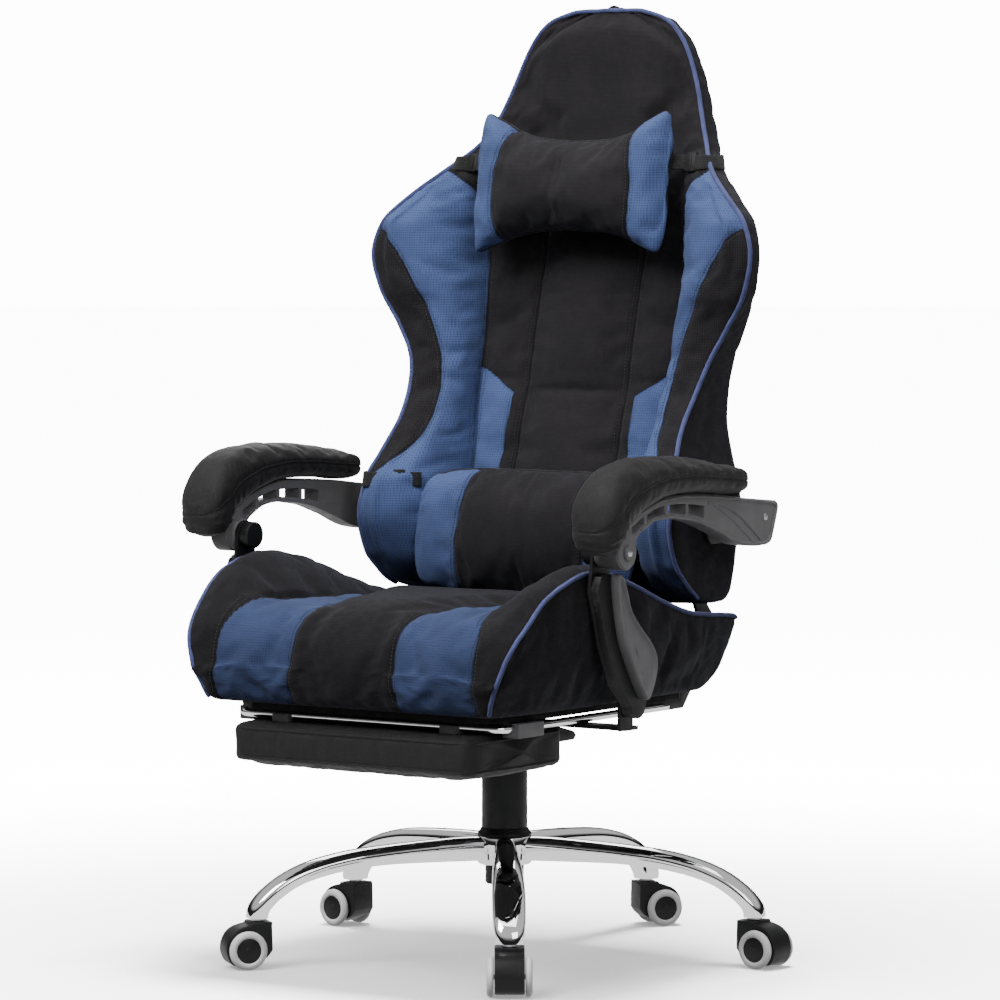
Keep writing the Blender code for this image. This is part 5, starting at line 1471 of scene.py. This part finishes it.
def make_arm(side, s):
    # The upright, its barrel at the top and a thicker bar over its lower part.
    up = (arc(ARM_P0[0], ARM_P0[1], 0.0160, 180, 350, 16)
          + [(-0.0960, 0.3900), (-0.1180, 0.4400), (-0.1500, 0.4900), (-0.1720, 0.5200)]
          + arc(ARM_P1[0], ARM_P1[1], 0.0185, -10, 190, 18)
          + [(-0.2120, 0.5250), (-0.2170, 0.5000), (-0.1950, 0.4300), (-0.1700, 0.3800)])
    parts = [plate("u", up, 0.2745, 0.2795, M_STEEL, 0.0012)]
    low = (arc(ARM_P0[0], ARM_P0[1], 0.0160, 180, 350, 16) + [(-0.0975, 0.3900), (-0.1180, 0.4400), (-0.1500, 0.4900), (-0.1650, 0.5120),
           (-0.1900, 0.5210), (-0.2080, 0.5180), (-0.2160, 0.5000), (-0.1950, 0.4300), (-0.1700, 0.3800)])
    parts.append(plate("bar", low, 0.2790, 0.2912, M_STEEL, 0.0012))
    parts.append(cyl("barrel", (0.2600, *ARM_P1), (0.2745, *ARM_P1), 0.0172, M_STEEL, 40, 0.0012))
    ob = mirror_x(join("arm_upright_fine_" + side, *parts), s)
    ob.data.set_sharp_from_angle(angle=math.radians(40))
    finish(ob, "upright_" + side, "black_steel", "arm_upright_" + side)

    # The drop-shaped cover: raised rim, hollow middle, one screw.
    drop = [(-0.1880, 0.5170), (-0.1790, 0.5180), (-0.1690, 0.5005), (-0.1600, 0.4760), (-0.1390, 0.4530), (-0.1140, 0.4310),
            (-0.1010, 0.4110), (-0.1030, 0.3890), (-0.1150, 0.3650), (-0.1230, 0.3600), (-0.1330, 0.3700), (-0.1560, 0.4050),
            (-0.1740, 0.4400), (-0.1840, 0.4800)]
    line = resample(catmull(drop, 8, closed=True), n=120, closed=True)
    t = np.roll(line, -1, 0) - np.roll(line, 1, 0)
    t /= np.linalg.norm(t, axis=1)[:, None]
    nrm = np.column_stack([t[:, 1], -t[:, 0]])
    if ((line + nrm * 0.002 - line.mean(0)) ** 2).sum() < ((line - line.mean(0)) ** 2).sum():
        nrm = -nrm

    def inset(d):
        p = line - nrm * d
        for _ in range(int(d * 4000)):
            p = p * 0.6 + (np.roll(p, 1, 0) + np.roll(p, -1, 0)) * 0.2
        return p

    spine = np.array([(-0.1810, 0.5080), (-0.1740, 0.4800), (-0.1600, 0.4450), (-0.1320, 0.4080), (-0.1220, 0.3780)])

    def towards(p, k):
        sp = resample(spine, n=200)
        j = ((p[:, None] - sp[None]) ** 2).sum(2).argmin(1)
        return p + (sp[j] - p) * k

    rings = []
    for x, d in ((0.2915, 0.0), (0.3020, 0.0), (0.3040, 0.0006), (0.3050, 0.0018), (0.3048, 0.0030), (0.3034, 0.0042), (0.3020, 0.0052)):
        p = inset(d)
        rings.append(np.column_stack([np.full(len(p), x), p]))
    base = inset(0.0052)
    for x, k in ((0.3006, 0.25), (0.2998, 0.5), (0.2994, 0.75), (0.2993, 0.95)):
        p = towards(base, k)
        rings.append(np.column_stack([np.full(len(p), x), p]))
    cov = rings_obj("cover", rings, M_GREYP, dome=False)
    parts = [cov, block("rib", (0.2799, -0.1620, 0.4300), (0.2930, -0.1460, 0.4560), M_GREYP, 0.001)]
    for p in ((-0.1270, 0.3960),):
        parts.append(cyl("screw", (0.2985, *p), (0.3002, *p), 0.0034, M_GREYP, 24, 0.0006))
    ob = mirror_x(join("arm_upright_cover_fine_" + side, *parts), s)
    ob.data.set_sharp_from_angle(angle=math.radians(50))
    finish(ob, "upright_" + side, "grey_plastic", "arm_upright_cover_" + side)

    # The moulded arc: slotted strip in front, flared paddle behind.
    outline = (arc(ARM_P1[0], ARM_P1[1], 0.0220, 190, 335, 22)
               + [tuple(p) for p in catmull([(-0.1690, 0.5620), (-0.1600, 0.5700), (-0.1300, 0.5830), (-0.0870, 0.5850), (-0.0300, 0.5770),
                                             (0.0250, 0.5600), (0.0620, 0.5460), (0.1000, 0.5400), (0.1340, 0.5400)], 6)]
               + [tuple(p) for p in catmull([(0.1340, 0.5400), (0.1460, 0.5450), (0.1530, 0.5600), (0.1620, 0.5850), (0.1600, 0.5930), (0.1540, 0.5962)], 6)][1:]
               + [tuple(p) for p in catmull([(0.1540, 0.5962), (0.0780, 0.6030), (0.0200, 0.6095), (-0.0600, 0.6140), (-0.1130, 0.6110),
                                             (-0.1640, 0.5960), (-0.2020, 0.5740), (-0.2100, 0.5620)], 6)][1:])
    holes = []
    for a, b in ((-0.1780, -0.1500), (-0.1440, -0.1040), (-0.0980, -0.0560), (-0.0500, -0.0140)):
        ys = np.linspace(a, b, 9)
        lo, hi = frame_edges(ys)
        zb, zt = lo + (hi - lo) * 0.24, lo + (hi - lo) * 0.62
        holes.append([(y, z) for y, z in zip(ys, zb)] + [(y, z) for y, z in zip(ys[::-1], zt[::-1])])
    parts = [plate("rail", outline, 0.2905, 0.3165, M_GREYP, 0.0016, holes=holes)]
    parts.append(cyl("disc", (0.2801, *ARM_P1), (0.3182, *ARM_P1), 0.0205, M_GREYP, 64, 0.0016))
    # ridges that frame the paddle's hollow and run along the strip's edges
    top = [(y, frame_edges(y)[1] - 0.0030) for y in np.linspace(-0.190, 0.010, 30)] + [(0.06, 0.6020), (0.11, 0.5975), (0.150, 0.5925), (0.1555, 0.5860),
                                                                                     (0.1510, 0.5700), (0.1430, 0.5520)]
    parts.append(slot_cross("ridge", resample(catmull(top, 3), 0.003), 0.3160, 0.0022, M_GREYP))
    low = [(y, frame_edges(y)[0] + 0.0028) for y in np.linspace(-0.158, 0.0200, 26)] + [(0.0600, 0.5490), (0.0980, 0.5430), (0.1300, 0.5430), (0.1430, 0.5520)]
    parts.append(slot_cross("ridge", resample(catmull(low, 3), 0.003), 0.3160, 0.0022, M_GREYP))
    diag = [(-0.0050, 0.6000), (0.0300, 0.5960), (0.0650, 0.5820), (0.0950, 0.5640), (0.1180, 0.5480)]
    parts.append(slot_cross("ridge", resample(catmull(diag, 6), 0.003), 0.3160, 0.0022, M_GREYP))
    diag = [(0.0100, 0.5960), (0.0450, 0.5800), (0.0750, 0.5620), (0.0980, 0.5470)]
    parts.append(slot_cross("ridge", resample(catmull(diag, 6), 0.003), 0.3160, 0.0015, M_GREYP))
    parts.append(cyl("screw", (0.3150, 0.1300, 0.5760), (0.3180, 0.1300, 0.5760), 0.0046, M_ZINC, 28, 0.0008))
    tongue = block("tongue", (0.2560, 0.1180, 0.5460), (0.2920, 0.1540, 0.5900), M_GREYP, 0.002)
    cut = cyl("cut", (0.2450, *ARM_P2), (0.2850, *ARM_P2), 0.0094, None, 32, 0)
    mod = tongue.modifiers.new("bore", "BOOLEAN")
    mod.object, mod.operation, mod.solver = cut, "DIFFERENCE", "EXACT"
    bake(tongue)
    bpy.data.objects.remove(cut, do_unlink=True)
    parts.append(tongue)
    ob = mirror_x(join("armrest_frame_fine_" + side, *parts), s)
    ob.data.set_sharp_from_angle(angle=math.radians(42))
    finish(ob, "armrest_" + side, "grey_plastic", "armrest_frame_" + side)
    bolt = [cyl("bolt", (0.2620, *ARM_P1), (0.3180, *ARM_P1), 0.0050, M_ZINC, 24, 0.0004),
            cyl("head", (0.3178, *ARM_P1), (0.3215, *ARM_P1), 0.0098, M_GREYP, 48, 0.0012),
            cyl("screw", (0.3205, *ARM_P1), (0.3224, *ARM_P1), 0.0052, M_ZINC, 6, 0.0005)]
    ob = mirror_x(join("armrest_bolt_fine_" + side, *bolt), s)
    finish(ob, "armrest_" + side, "zinc_steel", "armrest_pivot_bolt_" + side)
    make_pad(side, s)


for side, s in (("left", 1), ("right", -1)):
    make_arm(side, s)
    refine("arm_base_bracket_" + side, "seat", M_STEEL, "black_steel")
    refine("armrest_rear_bracket_" + side, "back", M_STEEL, "black_steel")
    refine("seat_hinge_plate_" + side, "seat", M_STEEL, "black_steel", 0.001)
    refine("back_hinge_plate_" + side, "back", M_STEEL, "black_steel", 0.001)
    heads = []
    for y, z in ((0.045, 0.3285), (0.125, 0.3285), (0.205, 0.415)):
        heads.append(cyl("b", (s * 0.1700, y, z), (s * 0.1660, y, z), 0.0062 if z < 0.4 else 0.010, M_ZINC, 6 if z < 0.4 else 32, 0.0006))
    finish(join("hinge_bolts_" + side, *heads), "seat", "zinc_steel")
    # Footrest guides and clips.
    refine("footrest_guide_" + side, "seat", M_GREYP, "grey_plastic", 0.0012)
    refine("footrest_hinge_clip_" + side, "footrest_pad", M_GREYP, "grey_plastic", 0.0012)

# ------------------------------------------------------------------ footrest


def make_footrest():
    xs = np.linspace(-0.1860, 0.1860, 82)
    n = 60
    ang = (np.arange(n) + 0.5) * 2 * math.pi / n
    ca, sa = np.cos(ang), np.sin(ang)
    rings = []
    for x in xs:
        d = max(0.0, abs(x) - (0.1860 - 0.016)) / 0.016
        cut = 0.016 * (1 - math.sqrt(max(0.0, 1 - d * d)))
        thin = 0.006 * (1 - math.sqrt(max(0.0, 1 - (max(0.0, abs(x) - 0.1780) / 0.008) ** 2)))
        hy, hz = (0.3400 - 0.1320) / 2 - cut, (0.3225 - 0.2720) / 2 - thin
        rings.append(np.column_stack([np.full(n, x), -0.2360 + hy * np.sign(ca) * np.abs(ca) ** 0.20,
                                      0.29725 + hz * np.sign(sa) * np.abs(sa) ** 0.30]))
    ob = rings_obj("footrest_pad_cover", rings, M_LEATHER, dome=True, dome_h=(0.001, 0.001))
    P = coords(ob)
    outer = np.minimum.reduce([0.1860 - np.abs(P[:, 0]), P[:, 1] + 0.3400, -0.1320 - P[:, 1]])
    mid = np.abs(P[:, 2] - 0.29725)
    hold = np.maximum(np.exp(-(outer / 0.012) ** 2) * smooth01((mid - 0.008) / 0.006), (P[:, 2] > 0.3200) * 0.9)
    inflate(ob, np.clip(hold, 0, 1), cap=0.0060, pressure=3.0, grow=0.02)
    co = coords(ob)
    co[:, 2] = np.clip(co[:, 2], 0.2640, 0.3226)
    set_coords(ob, co)
    subdivide(ob)
    P, N = coords(ob), vnormals(ob)
    big = waves(P, 0.085, 51) * 0.0012 + waves(P, 0.03, 52) * 0.0003
    big *= smooth01((0.3215 - P[:, 2]) / 0.004)
    set_coords(ob, P + N * big[:, None])
    tree = surface(ob)
    welts = []
    for z in (0.2785, 0.3160):
        pts = []
        hx, hy, r = 0.1860, 0.1040, 0.016
        for cx, cy, a0 in ((1, 1, 0), (-1, 1, 90), (-1, -1, 180), (1, -1, 270)):
            for k in range(13):
                a = math.radians(a0 + 90 * k / 12)
                pts.append((cx * (hx - r) + r * math.cos(a), cy * (hy - r) + r * math.sin(a)))
        line = resample(np.array(pts), 0.006, closed=True)
        out = []
        for x, y in line:
            hit = tree.find_nearest(Vector((x * 1.004, y * 1.004 - 0.2360, z)))
            out.append(np.array(hit[0] + hit[1] * 0.0003))
        out = np.array(out)
        for _ in range(4):
            out = out * 0.5 + (np.roll(out, 1, 0) + np.roll(out, -1, 0)) * 0.25
        welts.append(sweep("w", out, 0.0016, M_LEATHER, n=8, closed=True))
    finish(ob, "footrest_pad", "black_leather", "footrest_pad", fill=0.8)
    finish(join("footrest_pad_welts", *welts), "footrest_pad", "black_leather")
    r, c = 0.022, 0.2050
    pts = [(c, 0.070, 0.3310)] + [(c, y, 0.3310) for y in np.linspace(0.05, -0.300 + r, 12)]
    pts += [(c - r + r * math.cos(a), -0.300 + r - r * math.sin(a), 0.3310) for a in np.linspace(0.15, math.pi / 2, 9)]
    pts += [(x, -0.300, 0.3310) for x in np.linspace(c - r - 0.015, 0, 10)]
    pts = np.array(pts)
    full = np.vstack([pts, pts[-2::-1] * [-1, 1, 1]])
    bar = sweep("footrest_bar_tube", full, 0.0050, M_CHROME, n=28)
    finish(bar, "footrest_slide", "chrome_bar", "footrest_bar")


make_footrest()

# ----------------------------------------------------------------- mechanism
refine("seat_plate", "seat", M_STEEL, "black_steel", 0.0010)
refine("seat_pan", "seat", M_BOARD, "seat_board", 0.0012)
refine("tilt_housing", "mechanism", M_STEEL, "black_steel", 0.0016)
finish(cyl("tilt_pin_fine", (-0.0840, -0.05, 0.302), (0.0840, -0.05, 0.302), 0.0050, M_ZINC, 32, 0.001), "mechanism", "zinc_steel", "tilt_pivot_pin")
heads = [cyl("b", (x, y, 0.3216), (x, y, 0.3170), 0.0055, M_ZINC, 6, 0.0006) for x in (-0.085, 0.085) for y in (-0.105, 0.080)]
finish(join("seat_plate_bolts", *heads), "seat", "zinc_steel")

knob = turned("knob_fine", [(0.0, 0.279), (0.010, 0.279), (0.011, 0.269), (0.0235, 0.2670), (0.0255, 0.2640), (0.0250, 0.2460), (0.0225, 0.2440), (0.0, 0.2440)],
              M_BLACKP, 96, 30, 0.0008)
co = coords(knob)
rr = np.hypot(co[:, 0], co[:, 1])
th = np.arctan2(co[:, 1], co[:, 0])
k = 1 - 0.05 * (0.5 - 0.5 * np.cos(16 * th)) ** 2 * (rr > 0.02)
co[:, 0] *= k
co[:, 1] = co[:, 1] * k - 0.076
set_coords(knob, co)
finish(knob, "tension_knob", "black_plastic", "tilt_tension_knob")


def lever(name, path, r, grip, mat_rod, body, slot, node, extra=()):
    line = resample(catmull(path, 8), 0.004)
    parts = [sweep("rod", line, r, mat_rod, n=20), block("grip", *grip, M_BLACKP, 0.0034, 4), *extra]
    ob = join(name, *parts)
    ob.data.shade_smooth()
    ob.data.set_sharp_from_angle(angle=math.radians(40))
    finish(ob, body, slot, node)


lever("height_lever_fine", [(-0.064, 0, 0.290), (-0.120, 0, 0.290), (-0.190, -0.004, 0.287), (-0.245, -0.006, 0.284)], 0.0040,
      ((-0.2900, -0.0180, 0.2800), (-0.2300, 0.0080, 0.2880)), M_ZINC, "height_lever", "zinc_steel", "height_lever")
lever("recline_lever_fine", [(-0.1965, 0.201, 0.419), (-0.2440, 0.192, 0.405), (-0.2560, 0.150, 0.360), (-0.2620, 0.090, 0.340)], 0.0045,
      ((-0.2700, 0.0300, 0.3300), (-0.2540, 0.0950, 0.3480)), M_STEEL, "recline_lever", "black_steel", "recline_lever",
      (cyl("boss", (-0.1890, 0.205, 0.415), (-0.2030, 0.205, 0.415), 0.0100, M_STEEL, 40, 0.001),))

# -------------------------------------------------------------------- column
finish(turned("gas_cylinder_fine", [(0.0144, 0.270), (0.0240, 0.270), (0.025, 0.269), (0.025, 0.096), (0.023, 0.094), (0.0144, 0.094)], M_STEEL, 96, 30),
       "base", "black_steel", "gas_cylinder")
finish(turned("collar_fine", [(0.0256, 0.1672), (0.0306, 0.1672), (0.0314, 0.1655), (0.0330, 0.1630), (0.0348, 0.1604), (0.0350, 0.1590), (0.0350, 0.1579),
                              (0.0256, 0.1579)], M_BLACKP, 96, 30, 0.0003), "base", "black_plastic", "column_collar")
finish(turned("sleeve_lower_fine", [(0.0278, 0.2750), (0.0292, 0.2750), (0.0298, 0.2743), (0.0298, 0.1676), (0.0278, 0.1676)], M_BLACKP, 96, 30, 0.0003),
       "base", "black_plastic", "column_sleeve_lower")
finish(turned("sleeve_upper_fine", [(0.0256, 0.2790), (0.0273, 0.2790), (0.0273, 0.1800), (0.0256, 0.1800)], M_BLACKP, 96, 30, 0.0003),
       "column_lift", "black_plastic", "column_sleeve_upper")
finish(turned("rod_fine", [(0.0, 0.3010), (0.0128, 0.3010), (0.014, 0.290), (0.014, 0.2785), (0.0246, 0.2783), (0.025, 0.2778), (0.025, 0.2747),
                           (0.0246, 0.2742), (0.014, 0.274), (0.014, 0.120), (0.0, 0.120)], M_ZINC, 64, 30), "column_lift", "zinc_steel", "gas_piston_rod")

# ---------------------------------------------------------------------- base
ARM_ROWS = ((0.020, 0.1400, 0.0140, 0.0160, 2), (0.060, 0.1405, 0.0150, 0.0160, 0), (0.110, 0.1395, 0.0165, 0.0145, -2),
            (0.160, 0.1375, 0.0180, 0.0130, -5), (0.210, 0.1330, 0.0195, 0.0125, -10), (0.255, 0.1240, 0.0205, 0.0120, -20),
            (0.290, 0.1110, 0.0210, 0.0115, -34), (0.317, 0.0930, 0.0205, 0.0120, -55), (0.3325, 0.0760, 0.0190, 0.0130, -76),
            (0.3350, 0.0640, 0.0165, 0.0135, -90))
STAR_ANGLES = (36, 108, 180, 252, 324)
CASTER_YAW = (-55, -4, 55, 173, 233)
STAR_R = 0.335


def make_star():
    parts = []
    rows = resample(catmull([(r, z, w, t, s * 0.0005) for r, z, w, t, s in ARM_ROWS], 8), 0.0075)
    n = 40
    ang = (np.arange(n) + 0.5) * 2 * math.pi / n
    ca, sa = np.cos(ang), np.sin(ang)
    for deg in STAR_ANGLES:
        a = math.radians(deg)
        out, side = np.array([math.sin(a), -math.cos(a), 0]), np.array([math.cos(a), math.sin(a), 0])
        rings = []
        for r, z, w, t, s5 in rows:
            sl = math.radians(s5 / 0.0005)
            nrm = np.array([0, 0, math.cos(sl)]) - out * math.sin(sl)
            # a flat-topped oval
            u = np.sign(ca) * np.abs(ca) ** 0.72 * w
            v = np.sign(sa) * np.abs(sa) ** 0.80 * t
            v = np.where(sa > 0, v, v * 0.98)
            c = out * r + np.array([0, 0, z])
            rings.append(c + np.outer(u, side) + np.outer(v, nrm))
        parts.append(rings_obj("arm", rings, M_CHROME, dome=True, dome_h=(0.0, 0.0)))
        p = out * STAR_R
        sock = turned("socket", [(0.0, 0.0668), (0.0125, 0.0668), (0.0132, 0.0660), (0.0132, 0.0642), (0.0126, 0.0636), (0.0, 0.0636)], M_CHROME, 48, 40)
        sock.data.transform(Matrix.Translation(p))
        parts.append(sock)
    parts.append(turned("hub", [(0.0, 0.1575), (0.0320, 0.1575), (0.0345, 0.1568), (0.0355, 0.1550), (0.0358, 0.1450), (0.0355, 0.1240), (0.0345, 0.1212),
                                (0.0325, 0.1200), (0.0, 0.1200)], M_CHROME, 128, 40, 0.0008))
    ob = join("star_base_fine", *parts)
    ob.data.shade_smooth()
    ob.data.set_sharp_from_angle(angle=math.radians(48))
    finish(ob, "base", "chrome_base", "star_base")


make_star()


def make_caster(i):
    a = math.radians(STAR_ANGLES[i])
    p = Vector((STAR_R * math.sin(a), -STAR_R * math.cos(a), 0))
    yaw = math.radians(CASTER_YAW[i])
    t = (math.cos(yaw), math.sin(yaw))
    s = (-math.sin(yaw), math.cos(yaw))
    place = Matrix(((-s[0], t[0], 0, p.x), (-s[1], t[1], 0, p.y), (0, 0, 1, 0), (0, 0, 0, 1)))
    round_part = catmull([(-0.0160, 0.0240), (-0.0060, 0.0130), (0.0180, 0.0045), (0.0360, 0.0060), (0.0440, 0.0180), (0.0450, 0.0300),
                          (0.0400, 0.0430), (0.0300, 0.0520), (0.0150, 0.0565)], 6)
    outline = [(-0.0150, 0.0600), (-0.0156, 0.0400)] + [tuple(q) for q in round_part] + [(0.0128, 0.0572), (0.0120, 0.0600)]
    hood = plate("hood", outline, -0.0188, 0.0188, M_BLACKP, 0.0020, res=3)
    lip = block("lip", (-0.0150, -0.0165, 0.0560), (0.0150, 0.0130, 0.0598), M_BLACKP, 0.0014)
    hood = join("caster_hood_fine_%d" % (i + 1), hood, lip)
    hood.data.transform(place)
    hood.data.set_sharp_from_angle(angle=math.radians(42))
    finish(hood, "caster_%d" % (i + 1), "black_plastic", "caster_hood_%d" % (i + 1))
    stem = turned("caster_stem_fine_%d" % (i + 1),
                  [(0.0, 0.0775), (0.0045, 0.0775), (0.0055, 0.0765), (0.0055, 0.0636), (0.0082, 0.0636), (0.0085, 0.0632), (0.0085, 0.0608),
                   (0.0082, 0.0604), (0.0055, 0.0604), (0.0055, 0.0530), (0.0, 0.0530)], M_ZINC, 40, 35)
    stem.data.transform(Matrix.Translation(p))
    finish(stem, "caster_%d" % (i + 1), "zinc_steel", "caster_stem_%d" % (i + 1))
    parts = []
    ii, oo = 0.0196, 0.0286
    for sg in (1, -1):
        tyre = turned("tyre", [(0.0160, oo - 0.0016), (0.0172, oo - 0.0004), (0.0188, oo), (0.0208, oo - 0.0003), (0.0228, oo - 0.0012), (0.0242, oo - 0.0028),
                               (0.0250, oo - 0.0048), (0.0250, ii + 0.0030), (0.0244, ii + 0.0012), (0.0228, ii + 0.0002), (0.0160, ii)], M_TYRE, 96, 50)
        disc = turned("disc", [(0.0, oo - 0.0012), (0.0148, oo - 0.0012), (0.0158, oo - 0.0016), (0.0161, oo - 0.0022), (0.0161, ii + 0.0004), (0.0, ii + 0.0004)],
                      M_HUB, 72, 35)
        cap = turned("cap", [(0.0, oo - 0.0006), (0.0040, oo - 0.0006), (0.0046, oo - 0.0012), (0.0, oo - 0.0014)], M_HUB, 40, 35)
        for o in (tyre, disc, cap):
            if sg < 0:
                o.data.transform(Matrix.Rotation(math.pi, 4, "X"))
            parts.append(o)
    parts.append(cyl("axle", (0, 0, -0.0200), (0, 0, 0.0200), 0.0032, M_ZINC, 20, 0))
    ob = join("caster_wheels_fine_%d" % (i + 1), *parts)
    ax = p + Vector((t[0], t[1], 0)) * 0.018 + Vector((0, 0, 0.025))
    ob.data.transform(Matrix.Translation(ax) @ Matrix.Rotation(yaw, 4, "Z") @ Matrix.Rotation(math.radians(-90), 4, "X"))
    ob.data.shade_smooth()
    ob.data.set_sharp_from_angle(angle=math.radians(42))
    finish(ob, "caster_wheels_%d" % (i + 1), "caster_wheel", "caster_wheels_%d" % (i + 1))


for i in range(5):
    make_caster(i)

NODES["back_frame"].data.materials.clear()
NODES["back_frame"].data.materials.append(M_STEEL)


# -------------------------------------------------------------------- studio
def stage_mesh(name, verts, faces, mat, glossy=True, diffuse=True):
    ob = mesh_obj(name, verts, faces, mat)
    ob.visible_glossy, ob.visible_diffuse = glossy, diffuse
    return ob


def floor_material():
    m, nt, b = material("floor")
    b.inputs["Base Color"].default_value = (0.80, 0.80, 0.80, 1)
    b.inputs["Roughness"].default_value = 0.75
    b.inputs["Specular IOR Level"].default_value = 0.15
    tc = here(nt)
    ln = add(nt, "ShaderNodeVectorMath", operation="LENGTH")
    link(nt, tc.outputs["Object"], ln.inputs[0])
    # painted light: the floor glows, faintly within 0.4 m of the middle and up to 12 at 2.2 m out, so it is white far
    # off and darker round the chair
    link(nt, ramp(nt, ln.outputs["Value"], 0.40, 2.2, 0.30, 12.0), b.inputs["Emission Strength"])
    b.inputs["Emission Color"].default_value = (1, 1, 1, 1)
    return m


def glow_material(name, strength):
    m = bpy.data.materials.new(name)
    m.use_nodes = True
    nt = m.node_tree
    nt.nodes.clear()
    e = add(nt, "ShaderNodeEmission")
    e.inputs["Color"].default_value = (1, 1, 1, 1)
    e.inputs["Strength"].default_value = strength
    o = add(nt, "ShaderNodeOutputMaterial")
    nt.links.new(e.outputs[0], o.inputs[0])
    return m


def make_stage():
    n = 96
    verts = [(0, 0, 0)] + [(r * math.cos(2 * math.pi * k / n), r * math.sin(2 * math.pi * k / n), 0) for r in (4.0, 40.0) for k in range(n)]
    faces = [(0, 1 + k, 1 + (k + 1) % n) for k in range(n)]
    faces += [(1 + k, 1 + n + k, 1 + n + (k + 1) % n, 1 + (k + 1) % n) for k in range(n)]
    floor = stage_mesh("floor", verts, faces, floor_material(), glossy=False, diffuse=False)
    card = stage_mesh("reflection_card", [(-9, -9, -0.004), (9, -9, -0.004), (9, 9, -0.004), (-9, 9, -0.004)], [(0, 1, 2, 3)],
                      glow_material("reflection_card", 1.3), glossy=True, diffuse=False)
    card.visible_camera = card.visible_shadow = False
    verts, faces = [], []
    for r in range(13):
        e = math.radians(-1.5 + 91.4 * r / 12)
        for k in range(n):
            a = 2 * math.pi * k / n
            verts.append((39.5 * math.cos(e) * math.cos(a), 39.5 * math.cos(e) * math.sin(a), 39.5 * math.sin(e)))
    for r in range(12):
        for k in range(n):
            j = (k + 1) % n
            faces.append((r * n + k, (r + 1) * n + k, (r + 1) * n + j, r * n + j))
    dome = stage_mesh("backdrop", verts, faces, glow_material("backdrop", 14.0), glossy=False, diffuse=False)
    dome.visible_shadow = False
    dome.visible_transmission = False
    return floor


def softbox(name, at, to, size, power, spread=None):
    d = bpy.data.lights.new(name, "AREA")
    d.shape, d.size, d.size_y = "RECTANGLE", size[0], size[1]
    d.energy = power
    if spread:
        d.spread = math.radians(spread)
    ob = bpy.data.objects.new(name, d)
    COLL.objects.link(ob)
    ob.location = at
    ob.rotation_euler = (Vector(at) - Vector(to)).to_track_quat("Z", "Y").to_euler()
    return ob


def make_light(floor):
    softbox("key", (-1.0, -3.2, 4.0), (0, 0, 0.8), (2.6, 2.2), 230)
    softbox("fill", (3.6, -2.4, 2.4), (0, 0, 0.8), (2.2, 2.2), 55)
    softbox("top", (0.2, -0.4, 4.2), (0, 0, 0.5), (3.0, 3.0), 90)
    softbox("rim", (-2.4, 3.0, 2.6), (0, 0, 0.7), (1.6, 2.4), 60)
    wash = softbox("floor_wash", (0.0, 0.3, 4.6), (0, 0, 0), (1.3, 1.3), 1100)
    only = bpy.data.collections.new("floor_only")
    only.objects.link(floor)
    wash.light_linking.receiver_collection = only
    w = bpy.data.worlds.new("studio")
    SCENE.world = w
    w.use_nodes = True
    nt = w.node_tree
    bg = nt.nodes["Background"]
    tc = here(nt)
    sp = add(nt, "ShaderNodeSeparateXYZ")
    link(nt, tc.outputs["Generated"], sp.inputs[0])
    up = ramp(nt, sp.outputs[2], 0.16, 0.42, 0.03, 1.0)
    down = ramp(nt, sp.outputs[2], -0.06, -0.01, 0.10, 0.0)
    v = mth(nt, "ADD", up, down)
    c = add(nt, "ShaderNodeCombineColor")
    for i in range(3):
        link(nt, v, c.inputs[i])
    link(nt, c.outputs[0], bg.inputs["Color"])
    bg.inputs["Strength"].default_value = 0.60


make_light(make_stage())
